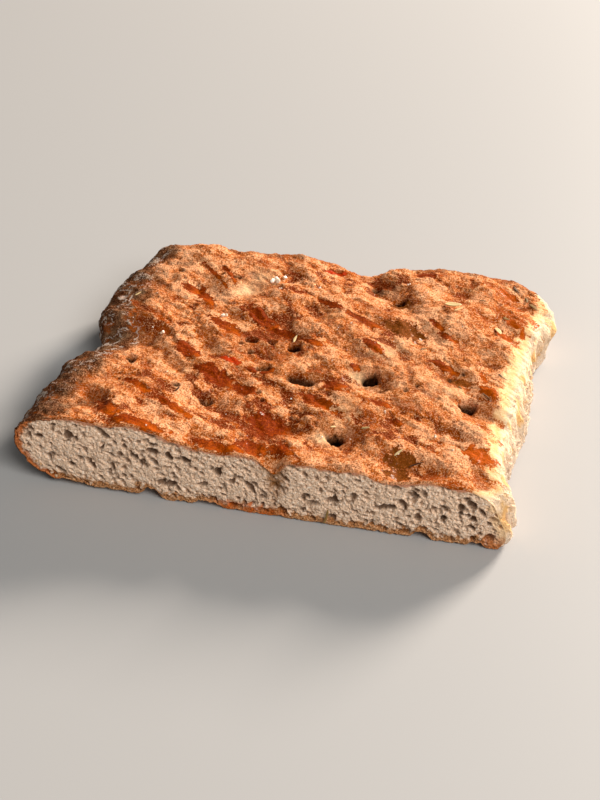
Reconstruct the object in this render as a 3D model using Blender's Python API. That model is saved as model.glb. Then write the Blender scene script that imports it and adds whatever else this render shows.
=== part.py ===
"""A piece of focaccia, cut straight along the front and torn along the right side.

Metres, +Z up. The cut faces -Y, the baked crust wraps round the left and the back,
and the piece rests on its underside. Plan positions are measured from the left end
of the cut's top edge: x runs along the cut and y towards the back. The finished mesh
is moved so that the middle of its footprint is the origin.
"""

import math

import bmesh
import bpy
import numpy as np

# Driving dimensions of the top face
TOP_LENGTH = 0.186
TOP_DEPTH = 0.154
CORNER_LEFT = 0.007
CORNER_RIGHT = 0.022
BASE_HEIGHT = 0.0275

# How far the sides stand out beyond the top face, half way up
REACH_LEFT = 0.0160
REACH_BACK = 0.0100
REACH_TORN = 0.0035
UNDERCUT_POWER = 1.7      # above 1, the baked sides draw in to a wedge below
WIDEST_HEIGHT = 0.60      # share of the height at which the baked sides stand out most
CORNER_PINCH = 0.60       # share of the reach that is missing at the back left corner
CORNER_PINCH_RADIUS = 0.022

# Lobes and pinches of the outline: x, y, radius, outward
EDGE_LOBES = (
    (0.000, 0.025, 0.030, 0.0030),
    (0.000, 0.077, 0.013, -0.0075),
    (0.002, 0.108, 0.020, 0.0010),
    (0.062, 0.154, 0.018, 0.0010),
    (0.102, 0.154, 0.012, -0.0055),
    (0.148, 0.154, 0.026, 0.0030),
    (0.186, 0.142, 0.018, 0.0050),
    (0.186, 0.030, 0.075, -0.0072),
    (0.186, 0.007, 0.010, 0.0036),
    (0.186, 0.000, 0.0045, -0.0055),
)

# The torn wall swells out below its top edge in places: y, half width, outward
TORN_SWELLS = (
    (0.000, 0.005, 0.0045),
    (0.008, 0.010, 0.0028),
    (0.076, 0.018, 0.0035),
    (0.136, 0.014, 0.0050),
)
# and draws in towards the table at both ends: y, half width, inward
TORN_UNDERCUTS = (
    (0.010, 0.010, 0.0025),
    (0.142, 0.026, 0.0085),
)

# Soft shoulder where the top rounds over to the torn side
SHOULDER_WIDTH = 0.010
SHOULDER_DROP = 0.0030

# Swells of the top: x, y, radius, height
SWELLS = (
    (0.020, 0.000, 0.034, 0.0075),
    (0.095, 0.095, 0.075, 0.0045),
    (0.030, 0.145, 0.030, 0.0020),
    (0.066, 0.117, 0.014, 0.0014),
    (0.150, 0.128, 0.030, 0.0022),
    (0.140, 0.065, 0.020, 0.0012),
    (0.124, 0.152, 0.013, 0.0012),
    (0.160, 0.150, 0.013, 0.0014),
    (0.004, 0.151, 0.010, 0.0014),
)

# Shallow dimples pressed in before baking: x, y, radius, depth
DIMPLES = (
    (0.0850, 0.0245, 0.0130, 0.0045),
    (0.0920, 0.0000, 0.0040, 0.0055),
    (0.1410, 0.0075, 0.0090, 0.0035),
    (0.1140, 0.0227, 0.0090, 0.0030),
    (0.0560, 0.0352, 0.0090, 0.0030),
    (0.0110, 0.0202, 0.0080, 0.0030),
    (0.0155, 0.0549, 0.0080, 0.0020),
    (0.1635, 0.0527, 0.0090, 0.0030),
    (0.0620, 0.0471, 0.0120, 0.0025),
    (0.0920, 0.0541, 0.0100, 0.0025),
    (0.1190, 0.0633, 0.0100, 0.0035),
    (0.0370, 0.0676, 0.0110, 0.0025),
    (0.0730, 0.0808, 0.0150, 0.0035),
    (0.0645, 0.0961, 0.0100, 0.0025),
    (0.1295, 0.0984, 0.0130, 0.0020),
    (0.0000, 0.0720, 0.0120, 0.0040),
    (0.0160, 0.0767, 0.0100, 0.0022),
    (0.0300, 0.1129, 0.0100, 0.0020),
    (0.0500, 0.1209, 0.0100, 0.0024),
    (0.1145, 0.1345, 0.0120, 0.0040),
    (0.1030, 0.1540, 0.0120, 0.0035),
    (0.0875, 0.1445, 0.0080, 0.0015),
    (0.1525, 0.0752, 0.0120, 0.0018),
    (0.1730, 0.1390, 0.0100, 0.0020),
)

# Finger holes: x, y, radius, depth
FINGER_HOLES = (
    (0.1123, 0.0234, 0.0032, 0.0075),
    (0.1194, 0.0659, 0.0032, 0.0075),
    (0.0824, 0.0797, 0.0028, 0.0060),
    (0.0717, 0.0821, 0.0020, 0.0045),
    (0.0623, 0.0816, 0.0024, 0.0050),
    (0.0908, 0.0564, 0.0036, 0.0055),
    (0.0724, 0.0615, 0.0032, 0.0035),
    (0.1625, 0.0561, 0.0030, 0.0065),
    (0.0540, 0.0366, 0.0028, 0.0050),
    (0.0136, 0.0574, 0.0022, 0.0040),
    (0.1217, 0.1271, 0.0027, 0.0050),
    (0.1083, 0.1398, 0.0025, 0.0050),
)
GATHER_RADIUS = 0.010     # the mesh is drawn together this far round a finger hole
GATHER_KEEP = 0.42        # spacing left at the middle of it

# Slow roll of the top, as a sum of waves
ROLL_SEED = 5
ROLL_WAVES = 8
ROLL_HEIGHT = 0.00035
ROLL_SHORT = 0.017
ROLL_LONG = 0.040

# Hollows under the cut's lower edge: x, half width, height
FRONT_HOLLOWS = (
    (0.000, 0.0140, 0.0026),
    (0.027, 0.0100, 0.0012),
    (0.039, 0.0035, 0.0042),
    (0.062, 0.0050, 0.0022),
    (0.147, 0.0035, 0.0030),
    (0.168, 0.0030, 0.0020),
)
EDGE_LIFT = 0.0008        # the lower edge stands clear of the table by about this much
EDGE_LIFT_WAVE = 0.011

# Torn side: ridges that run up and down it
RIDGE_DEPTH = 0.0011
RIDGE_WAVE = 0.0125
RIDGE_LEAN = 0.35

# Groove that the front dimple leaves down the cut
GROOVE_X = 0.0925
GROOVE_WIDTH = 0.0035
GROOVE_DEPTH = 0.0012

# Mesh counts
COLUMNS = 54
ROWS = 43
SIDE_ROWS = 7
BASE_INSETS = (0.006, 0.013)    # rings under the piece, from its lower edge inwards
BASE_RELIEF = (0.4, 0.0)        # share of the edge's lift that each ring keeps


def smooth_step(low, high, value):
    """Smooth rise from 0 at low to 1 at high."""
    t = np.clip((value - low) / (high - low), 0.0, 1.0)
    return t * t * (3.0 - 2.0 * t)


def bumps(table, x, y, power=2.0):
    """Sum of round bumps, each given as x, y, radius and height."""
    total = np.zeros_like(x)
    for cx, cy, radius, height in table:
        distance = np.hypot(x - cx, y - cy) / radius
        total += height * np.exp(-distance ** power)
    return total


def roll(x, y):
    """Slow, uneven roll of the top face."""
    rng = np.random.RandomState(ROLL_SEED)
    total = np.zeros_like(x)
    for _ in range(ROLL_WAVES):
        angle = rng.uniform(0.0, math.pi)
        wave = rng.uniform(ROLL_SHORT, ROLL_LONG)
        phase = rng.uniform(0.0, 2.0 * math.pi)
        along = x * math.cos(angle) + y * math.sin(angle)
        total += ROLL_HEIGHT * np.sin(2.0 * math.pi * along / wave + phase)
    return total


def torn_edge(y):
    """Position along x of the top face's torn edge."""
    return TOP_LENGTH + bumps(EDGE_LOBES, np.full_like(y, TOP_LENGTH), y)


def top_height(x, y):
    """Height of the top face above the table."""
    z = BASE_HEIGHT + roll(x, y) + bumps(SWELLS, x, y)
    z -= bumps(DIMPLES, x, y)
    z -= bumps(FINGER_HOLES, x, y, power=3.0)
    shoulder = np.clip(1.0 - (torn_edge(y) - x) / SHOULDER_WIDTH, 0.0, 1.2)
    return z - SHOULDER_DROP * shoulder ** 2


def edge_height(x, y):
    """Height of the lower edge above the table."""
    path = 2.0 * math.pi * (x - y) / EDGE_LIFT_WAVE
    z = EDGE_LIFT * (0.5 + 0.5 * np.sin(path) * np.sin(0.37 * path + 1.0))
    front = smooth_step(0.012, 0.0, y)
    for cx, half_width, height in FRONT_HOLLOWS:
        z = z + front * height * np.exp(-((x - cx) / half_width) ** 4)
    return z


def side_walk(t, straight, radius):
    """Walk a side and half of the round corner at its end: along, inset, turn."""
    s = t * (straight + radius * math.pi / 4.0)
    turn = np.maximum(s - straight, 0.0) / radius
    along = np.minimum(s, straight) + radius * np.sin(turn)
    return along, radius * (1.0 - np.cos(turn)), turn


def left_side(t):
    """Outline of the left side, front to back: point and outward direction."""
    along, inset, turn = side_walk(t, TOP_DEPTH - CORNER_LEFT, CORNER_LEFT)
    return np.stack([inset, along], -1), np.stack([-np.cos(turn), np.sin(turn)], -1)


def right_side(t):
    """Outline of the right side, front to back."""
    along, inset, turn = side_walk(t, TOP_DEPTH - CORNER_RIGHT, CORNER_RIGHT)
    point = np.stack([TOP_LENGTH - inset, along], -1)
    return point, np.stack([np.cos(turn), np.sin(turn)], -1)


def back_side(t):
    """Outline of the back, left to right, between the middles of its two corners."""
    arc_left = CORNER_LEFT * math.pi / 4.0
    arc_right = CORNER_RIGHT * math.pi / 4.0
    straight = TOP_LENGTH - CORNER_LEFT - CORNER_RIGHT
    s = t * (arc_left + straight + arc_right)
    turn_left = np.maximum(arc_left - s, 0.0) / CORNER_LEFT
    turn_right = np.maximum(s - arc_left - straight, 0.0) / CORNER_RIGHT
    x = CORNER_LEFT + np.clip(s - arc_left, 0.0, straight)
    x = x - CORNER_LEFT * np.sin(turn_left) + CORNER_RIGHT * np.sin(turn_right)
    y = TOP_DEPTH - CORNER_LEFT * (1.0 - np.cos(turn_left))
    y = y - CORNER_RIGHT * (1.0 - np.cos(turn_right))
    turn = turn_right - turn_left
    return np.stack([x, y], -1), np.stack([np.sin(turn), np.cos(turn)], -1)


def side_profile(level, torn):
    """Outward share and height share at a level: 0 at the top edge, 1 at the lower one."""
    angle = math.pi * (0.5 - level)
    power = 1.0 if angle > 0.0 else UNDERCUT_POWER
    round_out = max(math.cos(angle), 0.0) ** power
    rest = 1.0 - WIDEST_HEIGHT if angle > 0.0 else WIDEST_HEIGHT
    round_high = WIDEST_HEIGHT + rest * math.sin(angle)
    shoulder = math.sqrt(1.0 - (1.0 - min(level / 0.25, 1.0)) ** 2)
    lean = float(smooth_step(0.1, 0.8, level)) - 0.35 * float(smooth_step(0.8, 1.0, level))
    torn_out = 0.45 * shoulder + 0.55 * lean
    torn_high = 1.0 - level
    out = round_out + (torn_out - round_out) * torn
    high = round_high + (torn_high - round_high) * torn
    return out, high


def wall_loop(side, t, level):
    """One level of a crust or torn wall: points in space."""
    point, outward = side(t)
    torn = smooth_step(0.25, 0.95, outward[:, 0])
    back = smooth_step(0.2, 0.9, outward[:, 1])
    reach = REACH_LEFT + (REACH_BACK - REACH_LEFT) * back
    corner = np.hypot(point[:, 0], point[:, 1] - TOP_DEPTH) / CORNER_PINCH_RADIUS
    reach = reach * (1.0 - CORNER_PINCH * np.exp(-corner ** 2))
    torn_reach = np.full(len(torn), REACH_TORN)
    for cy, half_width, swell in TORN_SWELLS:
        torn_reach += swell * np.exp(-((point[:, 1] - cy) / half_width) ** 2)
    reach = reach + (torn_reach - reach) * torn
    lobe = bumps(EDGE_LOBES, point[:, 0], point[:, 1])
    top = point + outward * lobe[:, None]
    z_top = top_height(top[:, 0], top[:, 1])
    z_low = edge_height(top[:, 0], top[:, 1])
    out, high = side_profile(level, torn)
    ridge_phase = point[:, 1] / RIDGE_WAVE + RIDGE_LEAN * level
    ridge = RIDGE_DEPTH * np.sin(2.0 * math.pi * ridge_phase) * np.sin(5.0 * ridge_phase)
    push = reach * out + torn * ridge * math.sin(math.pi * level)
    for cy, half_width, inward in TORN_UNDERCUTS:
        drawn_in = inward * np.exp(-((point[:, 1] - cy) / half_width) ** 2)
        push = push - torn * drawn_in * smooth_step(0.15, 0.75, level)
    place = top + outward * push[:, None]
    return np.column_stack([place, z_low + (z_top - z_low) * high])


def cut_row(t, level):
    """One level of the cut face, from its left end to its right end."""
    left = wall_loop(left_side, np.zeros(1), level)[0]
    right = wall_loop(right_side, np.zeros(1), level)[0]
    left_top = wall_loop(left_side, np.zeros(1), 0.0)[0]
    right_top = wall_loop(right_side, np.zeros(1), 0.0)[0]
    x = left[0] + (right[0] - left[0]) * t
    x_top = left_top[0] + (right_top[0] - left_top[0]) * t
    flat = np.zeros_like(x_top)
    z_top = top_height(x_top, flat)
    z_low = edge_height(x_top, flat)
    high_left = side_profile(level, 0.0)[1]
    high_right = side_profile(level, 1.0)[1]
    high = high_left + (high_right - high_left) * t
    groove = np.exp(-((x - GROOVE_X) / GROOVE_WIDTH) ** 2)
    y = GROOVE_DEPTH * groove * math.sin(math.pi * (1.0 - level))
    y = y * smooth_step(0.0, 0.05, t) * smooth_step(1.0, 0.95, t)
    return np.column_stack([x, y, z_low + (z_top - z_low) * high])


def gather(x, y):
    """Draw points together round the finger holes, so that each hole gets enough of them."""
    for cx, cy, _, _ in FINGER_HOLES:
        dx = x - cx
        dy = y - cy
        near = smooth_step(0.0, GATHER_RADIUS, np.hypot(dx, dy))
        scale = GATHER_KEEP + (1.0 - GATHER_KEEP) * near
        x = cx + dx * scale
        y = cy + dy * scale
    return x, y


def top_grid(u, v):
    """Grid of points over the top face, blended from its four edges."""
    front = cut_row(u, 0.0)[:, :2]
    back = wall_loop(back_side, u, 0.0)[:, :2]
    left = wall_loop(left_side, v, 0.0)[:, :2]
    right = wall_loop(right_side, v, 0.0)[:, :2]
    uu = u[:, None, None]
    vv = v[None, :, None]
    grid = (1.0 - vv) * front[:, None] + vv * back[:, None]
    grid = grid + (1.0 - uu) * left[None] + uu * right[None]
    grid = grid - (1.0 - uu) * (1.0 - vv) * front[0] - uu * (1.0 - vv) * front[-1]
    grid = grid - (1.0 - uu) * vv * back[0] - uu * vv * back[-1]
    inner = grid[1:-1, 1:-1]
    inner[..., 0], inner[..., 1] = gather(inner[..., 0], inner[..., 1])
    z = top_height(grid[..., 0], grid[..., 1])
    return np.concatenate([grid, z[..., None]], -1)


def side_level(u, v, level):
    """Closed loop of points round the piece at one level, starting at the cut's left end."""
    front = cut_row(u, level)
    right = wall_loop(right_side, v, level)
    back = wall_loop(back_side, u, level)
    left = wall_loop(left_side, v, level)
    return np.concatenate([front[:-1], right[:-1], back[:0:-1], left[:0:-1]])


def build_bread_mesh(bm):
    """Top face, wall and underside as one closed mesh."""
    u = np.linspace(0.0, 1.0, COLUMNS + 1)
    v = np.linspace(0.0, 1.0, ROWS + 1)
    grid = top_grid(u, v)
    top = [[bm.verts.new(grid[i, j]) for j in range(ROWS + 1)] for i in range(COLUMNS + 1)]
    for i in range(COLUMNS):
        for j in range(ROWS):
            bm.faces.new((top[i][j], top[i + 1][j], top[i + 1][j + 1], top[i][j + 1]))

    rim = [top[i][0] for i in range(COLUMNS)]
    rim += [top[COLUMNS][j] for j in range(ROWS)]
    rim += [top[i][ROWS] for i in range(COLUMNS, 0, -1)]
    rim += [top[0][j] for j in range(ROWS, 0, -1)]

    loops = [rim]
    edge = None
    for k in range(1, SIDE_ROWS + 1):
        edge = side_level(u, v, k / SIDE_ROWS)
        loops.append([bm.verts.new(point) for point in edge])
    middle = 0.5 * (edge[:, :2].min(axis=0) + edge[:, :2].max(axis=0))
    half_size = 0.5 * (edge[:, :2].max(axis=0) - edge[:, :2].min(axis=0))
    for inset, relief in zip(BASE_INSETS, BASE_RELIEF):
        ring = middle + (edge[:, :2] - middle) * (1.0 - inset / half_size)
        heights = edge[:, 2] * relief
        loops.append([bm.verts.new((*p, z)) for p, z in zip(ring, heights)])

    for upper, lower in zip(loops, loops[1:]):
        for a in range(len(upper)):
            b = (a + 1) % len(upper)
            bm.faces.new((upper[b], upper[a], lower[a], lower[b]))
    bm.faces.new(loops[-1])


def centre_footprint(bm):
    """Move the mesh so that its footprint's middle is the origin and it rests on Z = 0."""
    points = np.array([vert.co for vert in bm.verts])
    low = points.min(axis=0)
    high = points.max(axis=0)
    shift = ((low[0] + high[0]) / 2.0, (low[1] + high[1]) / 2.0, low[2])
    for vert in bm.verts:
        vert.co.x -= shift[0]
        vert.co.y -= shift[1]
        vert.co.z -= shift[2]


def crust_material():
    """Baked crust: matt orange-brown."""
    material = bpy.data.materials.new("baked_crust")
    material.use_nodes = True
    shader = material.node_tree.nodes["Principled BSDF"]
    shader.inputs["Base Color"].default_value = (0.42, 0.19, 0.08, 1.0)
    shader.inputs["Roughness"].default_value = 0.7
    shader.inputs["Metallic"].default_value = 0.0
    return material


def main():
    for item in list(bpy.data.objects):
        bpy.data.objects.remove(item, do_unlink=True)
    bm = bmesh.new()
    build_bread_mesh(bm)
    centre_footprint(bm)
    bmesh.ops.recalc_face_normals(bm, faces=bm.faces)
    mesh = bpy.data.meshes.new("focaccia")
    bm.to_mesh(mesh)
    bm.free()
    mesh.shade_smooth()
    mesh.materials.append(crust_material())
    piece = bpy.data.objects.new("focaccia", mesh)
    bpy.context.scene.collection.objects.link(piece)


main()
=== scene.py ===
import math
import bpy
import bmesh
import numpy as np
from functools import partial
from itertools import product
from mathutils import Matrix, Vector
from mathutils.bvhtree import BVHTree


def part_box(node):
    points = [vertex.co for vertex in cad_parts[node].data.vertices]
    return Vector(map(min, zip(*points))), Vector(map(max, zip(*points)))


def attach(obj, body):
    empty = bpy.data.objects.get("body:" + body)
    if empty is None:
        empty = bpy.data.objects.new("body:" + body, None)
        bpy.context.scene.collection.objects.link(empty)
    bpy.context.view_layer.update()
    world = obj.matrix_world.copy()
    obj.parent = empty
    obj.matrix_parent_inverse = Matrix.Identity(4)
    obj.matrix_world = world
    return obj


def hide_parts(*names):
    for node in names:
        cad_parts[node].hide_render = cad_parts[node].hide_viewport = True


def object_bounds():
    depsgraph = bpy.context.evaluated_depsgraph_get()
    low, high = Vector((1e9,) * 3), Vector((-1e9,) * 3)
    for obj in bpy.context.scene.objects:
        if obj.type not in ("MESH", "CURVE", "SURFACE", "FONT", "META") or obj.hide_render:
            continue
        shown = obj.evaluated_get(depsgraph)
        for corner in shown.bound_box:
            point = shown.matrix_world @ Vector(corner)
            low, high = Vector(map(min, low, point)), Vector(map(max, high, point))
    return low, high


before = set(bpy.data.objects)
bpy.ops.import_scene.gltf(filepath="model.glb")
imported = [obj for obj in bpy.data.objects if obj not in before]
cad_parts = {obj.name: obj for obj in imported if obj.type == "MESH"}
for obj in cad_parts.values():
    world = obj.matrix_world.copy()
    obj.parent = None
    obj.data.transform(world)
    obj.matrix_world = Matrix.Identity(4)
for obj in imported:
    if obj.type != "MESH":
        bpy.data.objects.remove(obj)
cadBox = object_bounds()
mm = 0.001


def inMetres(lengths, rows):
    # tables are written in mm: the first values of each row are lengths, the rest stay as they are
    return [tuple(value * mm for value in row[:lengths]) + row[lengths:] for row in rows]


# The loaf's own measures, in metres, from the left end of the cut's top edge
form = {
    "topLength": 0.186,      # along the cut
    "topDepth": 0.154,       # cut to back
    "cornerLeft": 0.007,
    "cornerRight": 0.022,
    "baseHeight": 0.0275,
    "reachLeft": 0.016,      # how far the sides belly out
    "reachBack": 0.010,
    "reachTorn": 0.0035,
    "undercutPower": 1.7,
    "widestHeight": 0.60,    # share of the height where the baked sides stand out most
    "cornerPinch": 0.60,     # reach missing at the back left corner
    "cornerPinchRadius": 0.022,
    "shoulderWidth": 0.010,  # soft shoulder above the torn side
    "shoulderDrop": 0.0030,
    "rollSeed": 5,
    "rollWaves": 8,
    "rollHeight": 0.00035,
    "rollShort": 0.017,
    "rollLong": 0.040,
    "edgeLift": 0.0008,      # lower edge above the table
    "edgeLiftWave": 0.011,
    "ridgeDepth": 0.0011,    # ridges of the torn side
    "ridgeWave": 0.0125,
    "ridgeLean": 0.35,
    "laceHeight": 0.0013,    # fine ragged edge of the base
    "laceSize": 0.0030,
}

# x, y, radius, outward
edgeLobes = inMetres(4, (
    (0, 25, 30, 3), (0, 77, 13, -7.5), (2, 108, 20, 1), (62, 154, 18, 1), (102, 154, 12, -5.5),
    (148, 154, 26, 3), (186, 142, 18, 5), (186, 30, 75, -7.2), (186, 7, 10, 3.6), (186, 0, 4.5, -5.5),
))
# y, half width, outward
tornSwells = inMetres(3, (
    (0, 5, 4.5), (8, 10, 2.8), (76, 18, 3.5), (136, 14, 5),
))
# y, half width, inward at the foot
tornUndercuts = inMetres(3, (
    (10, 10, 2.5), (142, 26, 8.5),
))
# x, y, radius, height
swells = inMetres(4, (
    (20, 0, 34, 7.5), (95, 95, 75, 4.5), (30, 145, 30, 2), (66, 117, 14, 1.4), (150, 128, 30, 2.2),
    (140, 65, 20, 1.2), (124, 152, 13, 1.2), (160, 150, 13, 1.4), (4, 151, 10, 1.4),
))
# x, y, radius, depth
dimples = inMetres(4, (
    (85, 24.5, 13, 4.5), (92, 0, 4, 5.5), (141, 7.5, 9, 3.5), (114, 22.7, 9, 3), (56, 35.2, 9, 3),
    (11, 20.2, 8, 3), (15.5, 54.9, 8, 2), (163.5, 52.7, 9, 3), (62, 47.1, 12, 2.5), (92, 54.1, 10, 2.5),
    (119, 63.3, 10, 3.5), (37, 67.6, 11, 2.5), (73, 80.8, 15, 3.5), (64.5, 96.1, 10, 2.5),
    (129.5, 98.4, 13, 2), (0, 72, 12, 4), (16, 76.7, 10, 2.2), (30, 112.9, 10, 2), (50, 120.9, 10, 2.4),
    (114.5, 134.5, 12, 4), (103, 154, 12, 3.5), (87.5, 144.5, 8, 1.5), (152.5, 75.2, 12, 1.8),
    (173, 139, 10, 2),
))
# x, y, radius, depth
fingerHoles = inMetres(4, (
    (112.3, 23.4, 3.2, 7.5), (119.4, 65.9, 3.2, 7.5), (82.4, 79.7, 2.8, 6), (71.7, 82.1, 2, 4.5),
    (62.3, 81.6, 2.4, 5), (72.4, 61.5, 3.2, 3.5), (162.5, 56.1, 3, 6.5), (54, 36.6, 2.8, 5),
    (13.6, 57.4, 2.2, 4), (121.7, 127.1, 2.7, 5), (108.3, 139.8, 2.5, 5),
))
# a finger hole that closed up in the oven: x, y, half length, half width, depth
slit = inMetres(5, ((90.5, 56.2, 6.2, 2.5, 4.6),))[0]
# hollows under the cut: x, half width, height
frontHollows = inMetres(3, (
    (0, 14, 2.6), (27, 10, 1.2), (39, 3.5, 4.2), (62, 5, 2.2), (147, 3.5, 3), (168, 3, 2),
))


def smoothStep(low, high, value):
    t = np.clip((value - low) / (high - low), 0.0, 1.0)
    return t * t * (3.0 - 2.0 * t)


def bell(value, middle, halfWidth, power=2):
    return np.exp(-((value - middle) / halfWidth) ** power)


def steps(count):
    return np.linspace(0.0, 1.0, count + 1)


def xyz(x, y, z):
    return np.stack(np.broadcast_arrays(x, y, z), -1)


def unit(rows):
    return rows / np.maximum(np.linalg.norm(rows, axis=1), 1e-20)[:, None]


def slanted(points, angle, stretch):
    # coordinates along and across the streaks, for features drawn out along them
    turn = math.radians(angle)
    along = points[..., 0] * math.cos(turn) + points[..., 1] * math.sin(turn)
    across = -points[..., 0] * math.sin(turn) + points[..., 1] * math.cos(turn)
    return xyz(along / stretch, across, points[..., 2])


def ovalShare(dx, dy, halfLength, halfWidth, angle):
    # how far along and across a slanting oval, 1 at its rim
    turned = slanted(xyz(dx, dy, 0.0), angle, 1.0)
    return turned[..., 0] / halfLength, turned[..., 1] / halfWidth


def hashValue(cell, seed):
    # a fixed random value from 0 to 1 for each whole-number cell
    ix, iy, iz = (cell[..., axis].astype(np.uint32) for axis in range(3))
    h = ix * np.uint32(374761393) + iy * np.uint32(668265263)
    h = h + iz * np.uint32(2246822519) + np.uint32((seed * 3266489917) % 4294967296)
    h = (h ^ (h >> np.uint32(15))) * np.uint32(2246822519)
    h = (h ^ (h >> np.uint32(13))) * np.uint32(3266489917)
    h = h ^ (h >> np.uint32(16))
    return (h & np.uint32(0xFFFFFF)).astype(np.float64) / 16777216.0


def softNoise(points, size, seed):
    # gradient noise, about -1 to 1, with bumps of roughly this size
    p = points / size
    cell = np.floor(p).astype(np.int64)
    f = p - cell
    fade = f * f * f * (f * (f * 6.0 - 15.0) + 10.0)
    total = np.zeros(p.shape[:-1])
    for corner in product((0, 1), repeat=3):
        part = 0.0
        for axis in range(3):
            part = part + (hashValue(cell + corner, seed + 101 * axis) - 0.5) * (f[..., axis] - corner[axis])
        for axis in range(3):
            part = part * (fade[..., axis] if corner[axis] else 1.0 - fade[..., axis])
        total += part
    return total * 2.6


def layeredNoise(points, size, seed, layers=3, fade=0.5):
    total = np.zeros(points.shape[:-1])
    for layer in range(layers):
        total += fade ** layer * softNoise(points + layer * 0.137, size * 0.5 ** layer, seed + layer * 7)
    return total


def cellNoise(points, size, seed):
    # bubbles: distance to the nearest and second nearest centre, and the nearest one's random value
    p = points / size
    cell = np.floor(p).astype(np.int64)
    near = np.full(p.shape[:-1], 9.0)
    second = near.copy()
    own = np.zeros(p.shape[:-1])
    for offset in product((-1, 0, 1), repeat=3):
        there = cell + offset
        centre = there + np.stack([hashValue(there, seed + 11 * axis) for axis in range(3)], -1)
        away = np.sqrt(((p - centre) ** 2).sum(axis=-1))
        closer = away < near
        second = np.where(closer, near, np.minimum(second, away))
        own = np.where(closer, hashValue(there, seed + 33), own)
        near = np.where(closer, away, near)
    return near, second, own


def bumps(table, x, y, power=2.0):
    total = np.zeros_like(x)
    for cx, cy, radius, height in table:
        total += height * np.exp(-(np.hypot(x - cx, y - cy) / radius) ** power)
    return total


def roll(x, y):
    # long low waves of the top
    rng = np.random.RandomState(form["rollSeed"])
    total = np.zeros_like(x)
    for _ in range(form["rollWaves"]):
        angle = rng.uniform(0.0, math.pi)
        wave = rng.uniform(form["rollShort"], form["rollLong"])
        phase = rng.uniform(0.0, 2.0 * math.pi)
        along = x * math.cos(angle) + y * math.sin(angle)
        total += form["rollHeight"] * np.sin(2.0 * math.pi * along / wave + phase)
    return total


def tornEdge(y):
    # x of the top face's torn edge at this y
    return form["topLength"] + bumps(edgeLobes, np.full_like(y, form["topLength"]), y)


def slitShape(x, y):
    # 1 along the closed-up hole, fading towards its lips
    return bell(x, slit[0], slit[2], 4) * bell(y, slit[1], slit[3])


def topHeight(x, y):
    z = form["baseHeight"] + roll(x, y) + bumps(swells, x, y)
    z = z - bumps(dimples, x, y) - bumps(fingerHoles, x, y, 3.0) - slit[4] * slitShape(x, y)
    shoulder = np.clip(1.0 - (tornEdge(y) - x) / form["shoulderWidth"], 0.0, 1.2)
    return z - form["shoulderDrop"] * shoulder ** 2


def edgeHeight(x, y):
    # lower edge above the table, with the hollows under the cut and a fine lace
    path = 2.0 * math.pi * (x - y) / form["edgeLiftWave"]
    z = form["edgeLift"] * (0.5 + 0.5 * np.sin(path) * np.sin(0.37 * path + 1.0))
    for cx, halfWidth, height in frontHollows:
        z = z + smoothStep(0.012, 0.0, y) * height * bell(x, cx, halfWidth, 4)
    return z + form["laceHeight"] * np.abs(layeredNoise(xyz(x, y, 0.0), form["laceSize"], 71))


def sideWalk(t, corner):
    # along a straight side and round the first half of its far corner
    straight = form["topDepth"] - corner
    s = t * (straight + corner * math.pi / 4.0)
    turn = np.maximum(s - straight, 0.0) / corner
    return np.minimum(s, straight) + corner * np.sin(turn), corner * (1.0 - np.cos(turn)), turn


def leftSide(t):
    along, inset, turn = sideWalk(t, form["cornerLeft"])
    return np.stack([inset, along], -1), np.stack([-np.cos(turn), np.sin(turn)], -1)


def rightSide(t):
    along, inset, turn = sideWalk(t, form["cornerRight"])
    return np.stack([form["topLength"] - inset, along], -1), np.stack([np.cos(turn), np.sin(turn)], -1)


def backSide(t):
    left, right = form["cornerLeft"], form["cornerRight"]
    arcLeft, arcRight = left * math.pi / 4.0, right * math.pi / 4.0
    straight = form["topLength"] - left - right
    s = t * (arcLeft + straight + arcRight)
    turnLeft = np.maximum(arcLeft - s, 0.0) / left
    turnRight = np.maximum(s - arcLeft - straight, 0.0) / right
    x = left + np.clip(s - arcLeft, 0.0, straight) - left * np.sin(turnLeft) + right * np.sin(turnRight)
    y = form["topDepth"] - left * (1.0 - np.cos(turnLeft)) - right * (1.0 - np.cos(turnRight))
    turn = turnRight - turnLeft
    return np.stack([x, y], -1), np.stack([np.sin(turn), np.cos(turn)], -1)


def sideProfile(level, torn):
    # outward share and height share, level 0 at the top edge and 1 at the lower one
    angle = math.pi * (0.5 - level)
    power = np.where(angle > 0.0, 1.0, form["undercutPower"])
    roundOut = np.maximum(np.cos(angle), 0.0) ** power
    rest = np.where(angle > 0.0, 1.0 - form["widestHeight"], form["widestHeight"])
    roundHigh = form["widestHeight"] + rest * np.sin(angle)
    shoulder = np.sqrt(1.0 - (1.0 - np.minimum(level / 0.25, 1.0)) ** 2)
    lean = smoothStep(0.1, 0.8, level) - 0.35 * smoothStep(0.8, 1.0, level)
    out = roundOut + (0.45 * shoulder + 0.55 * lean - roundOut) * torn
    return out, roundHigh + (1.0 - level - roundHigh) * torn


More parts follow.
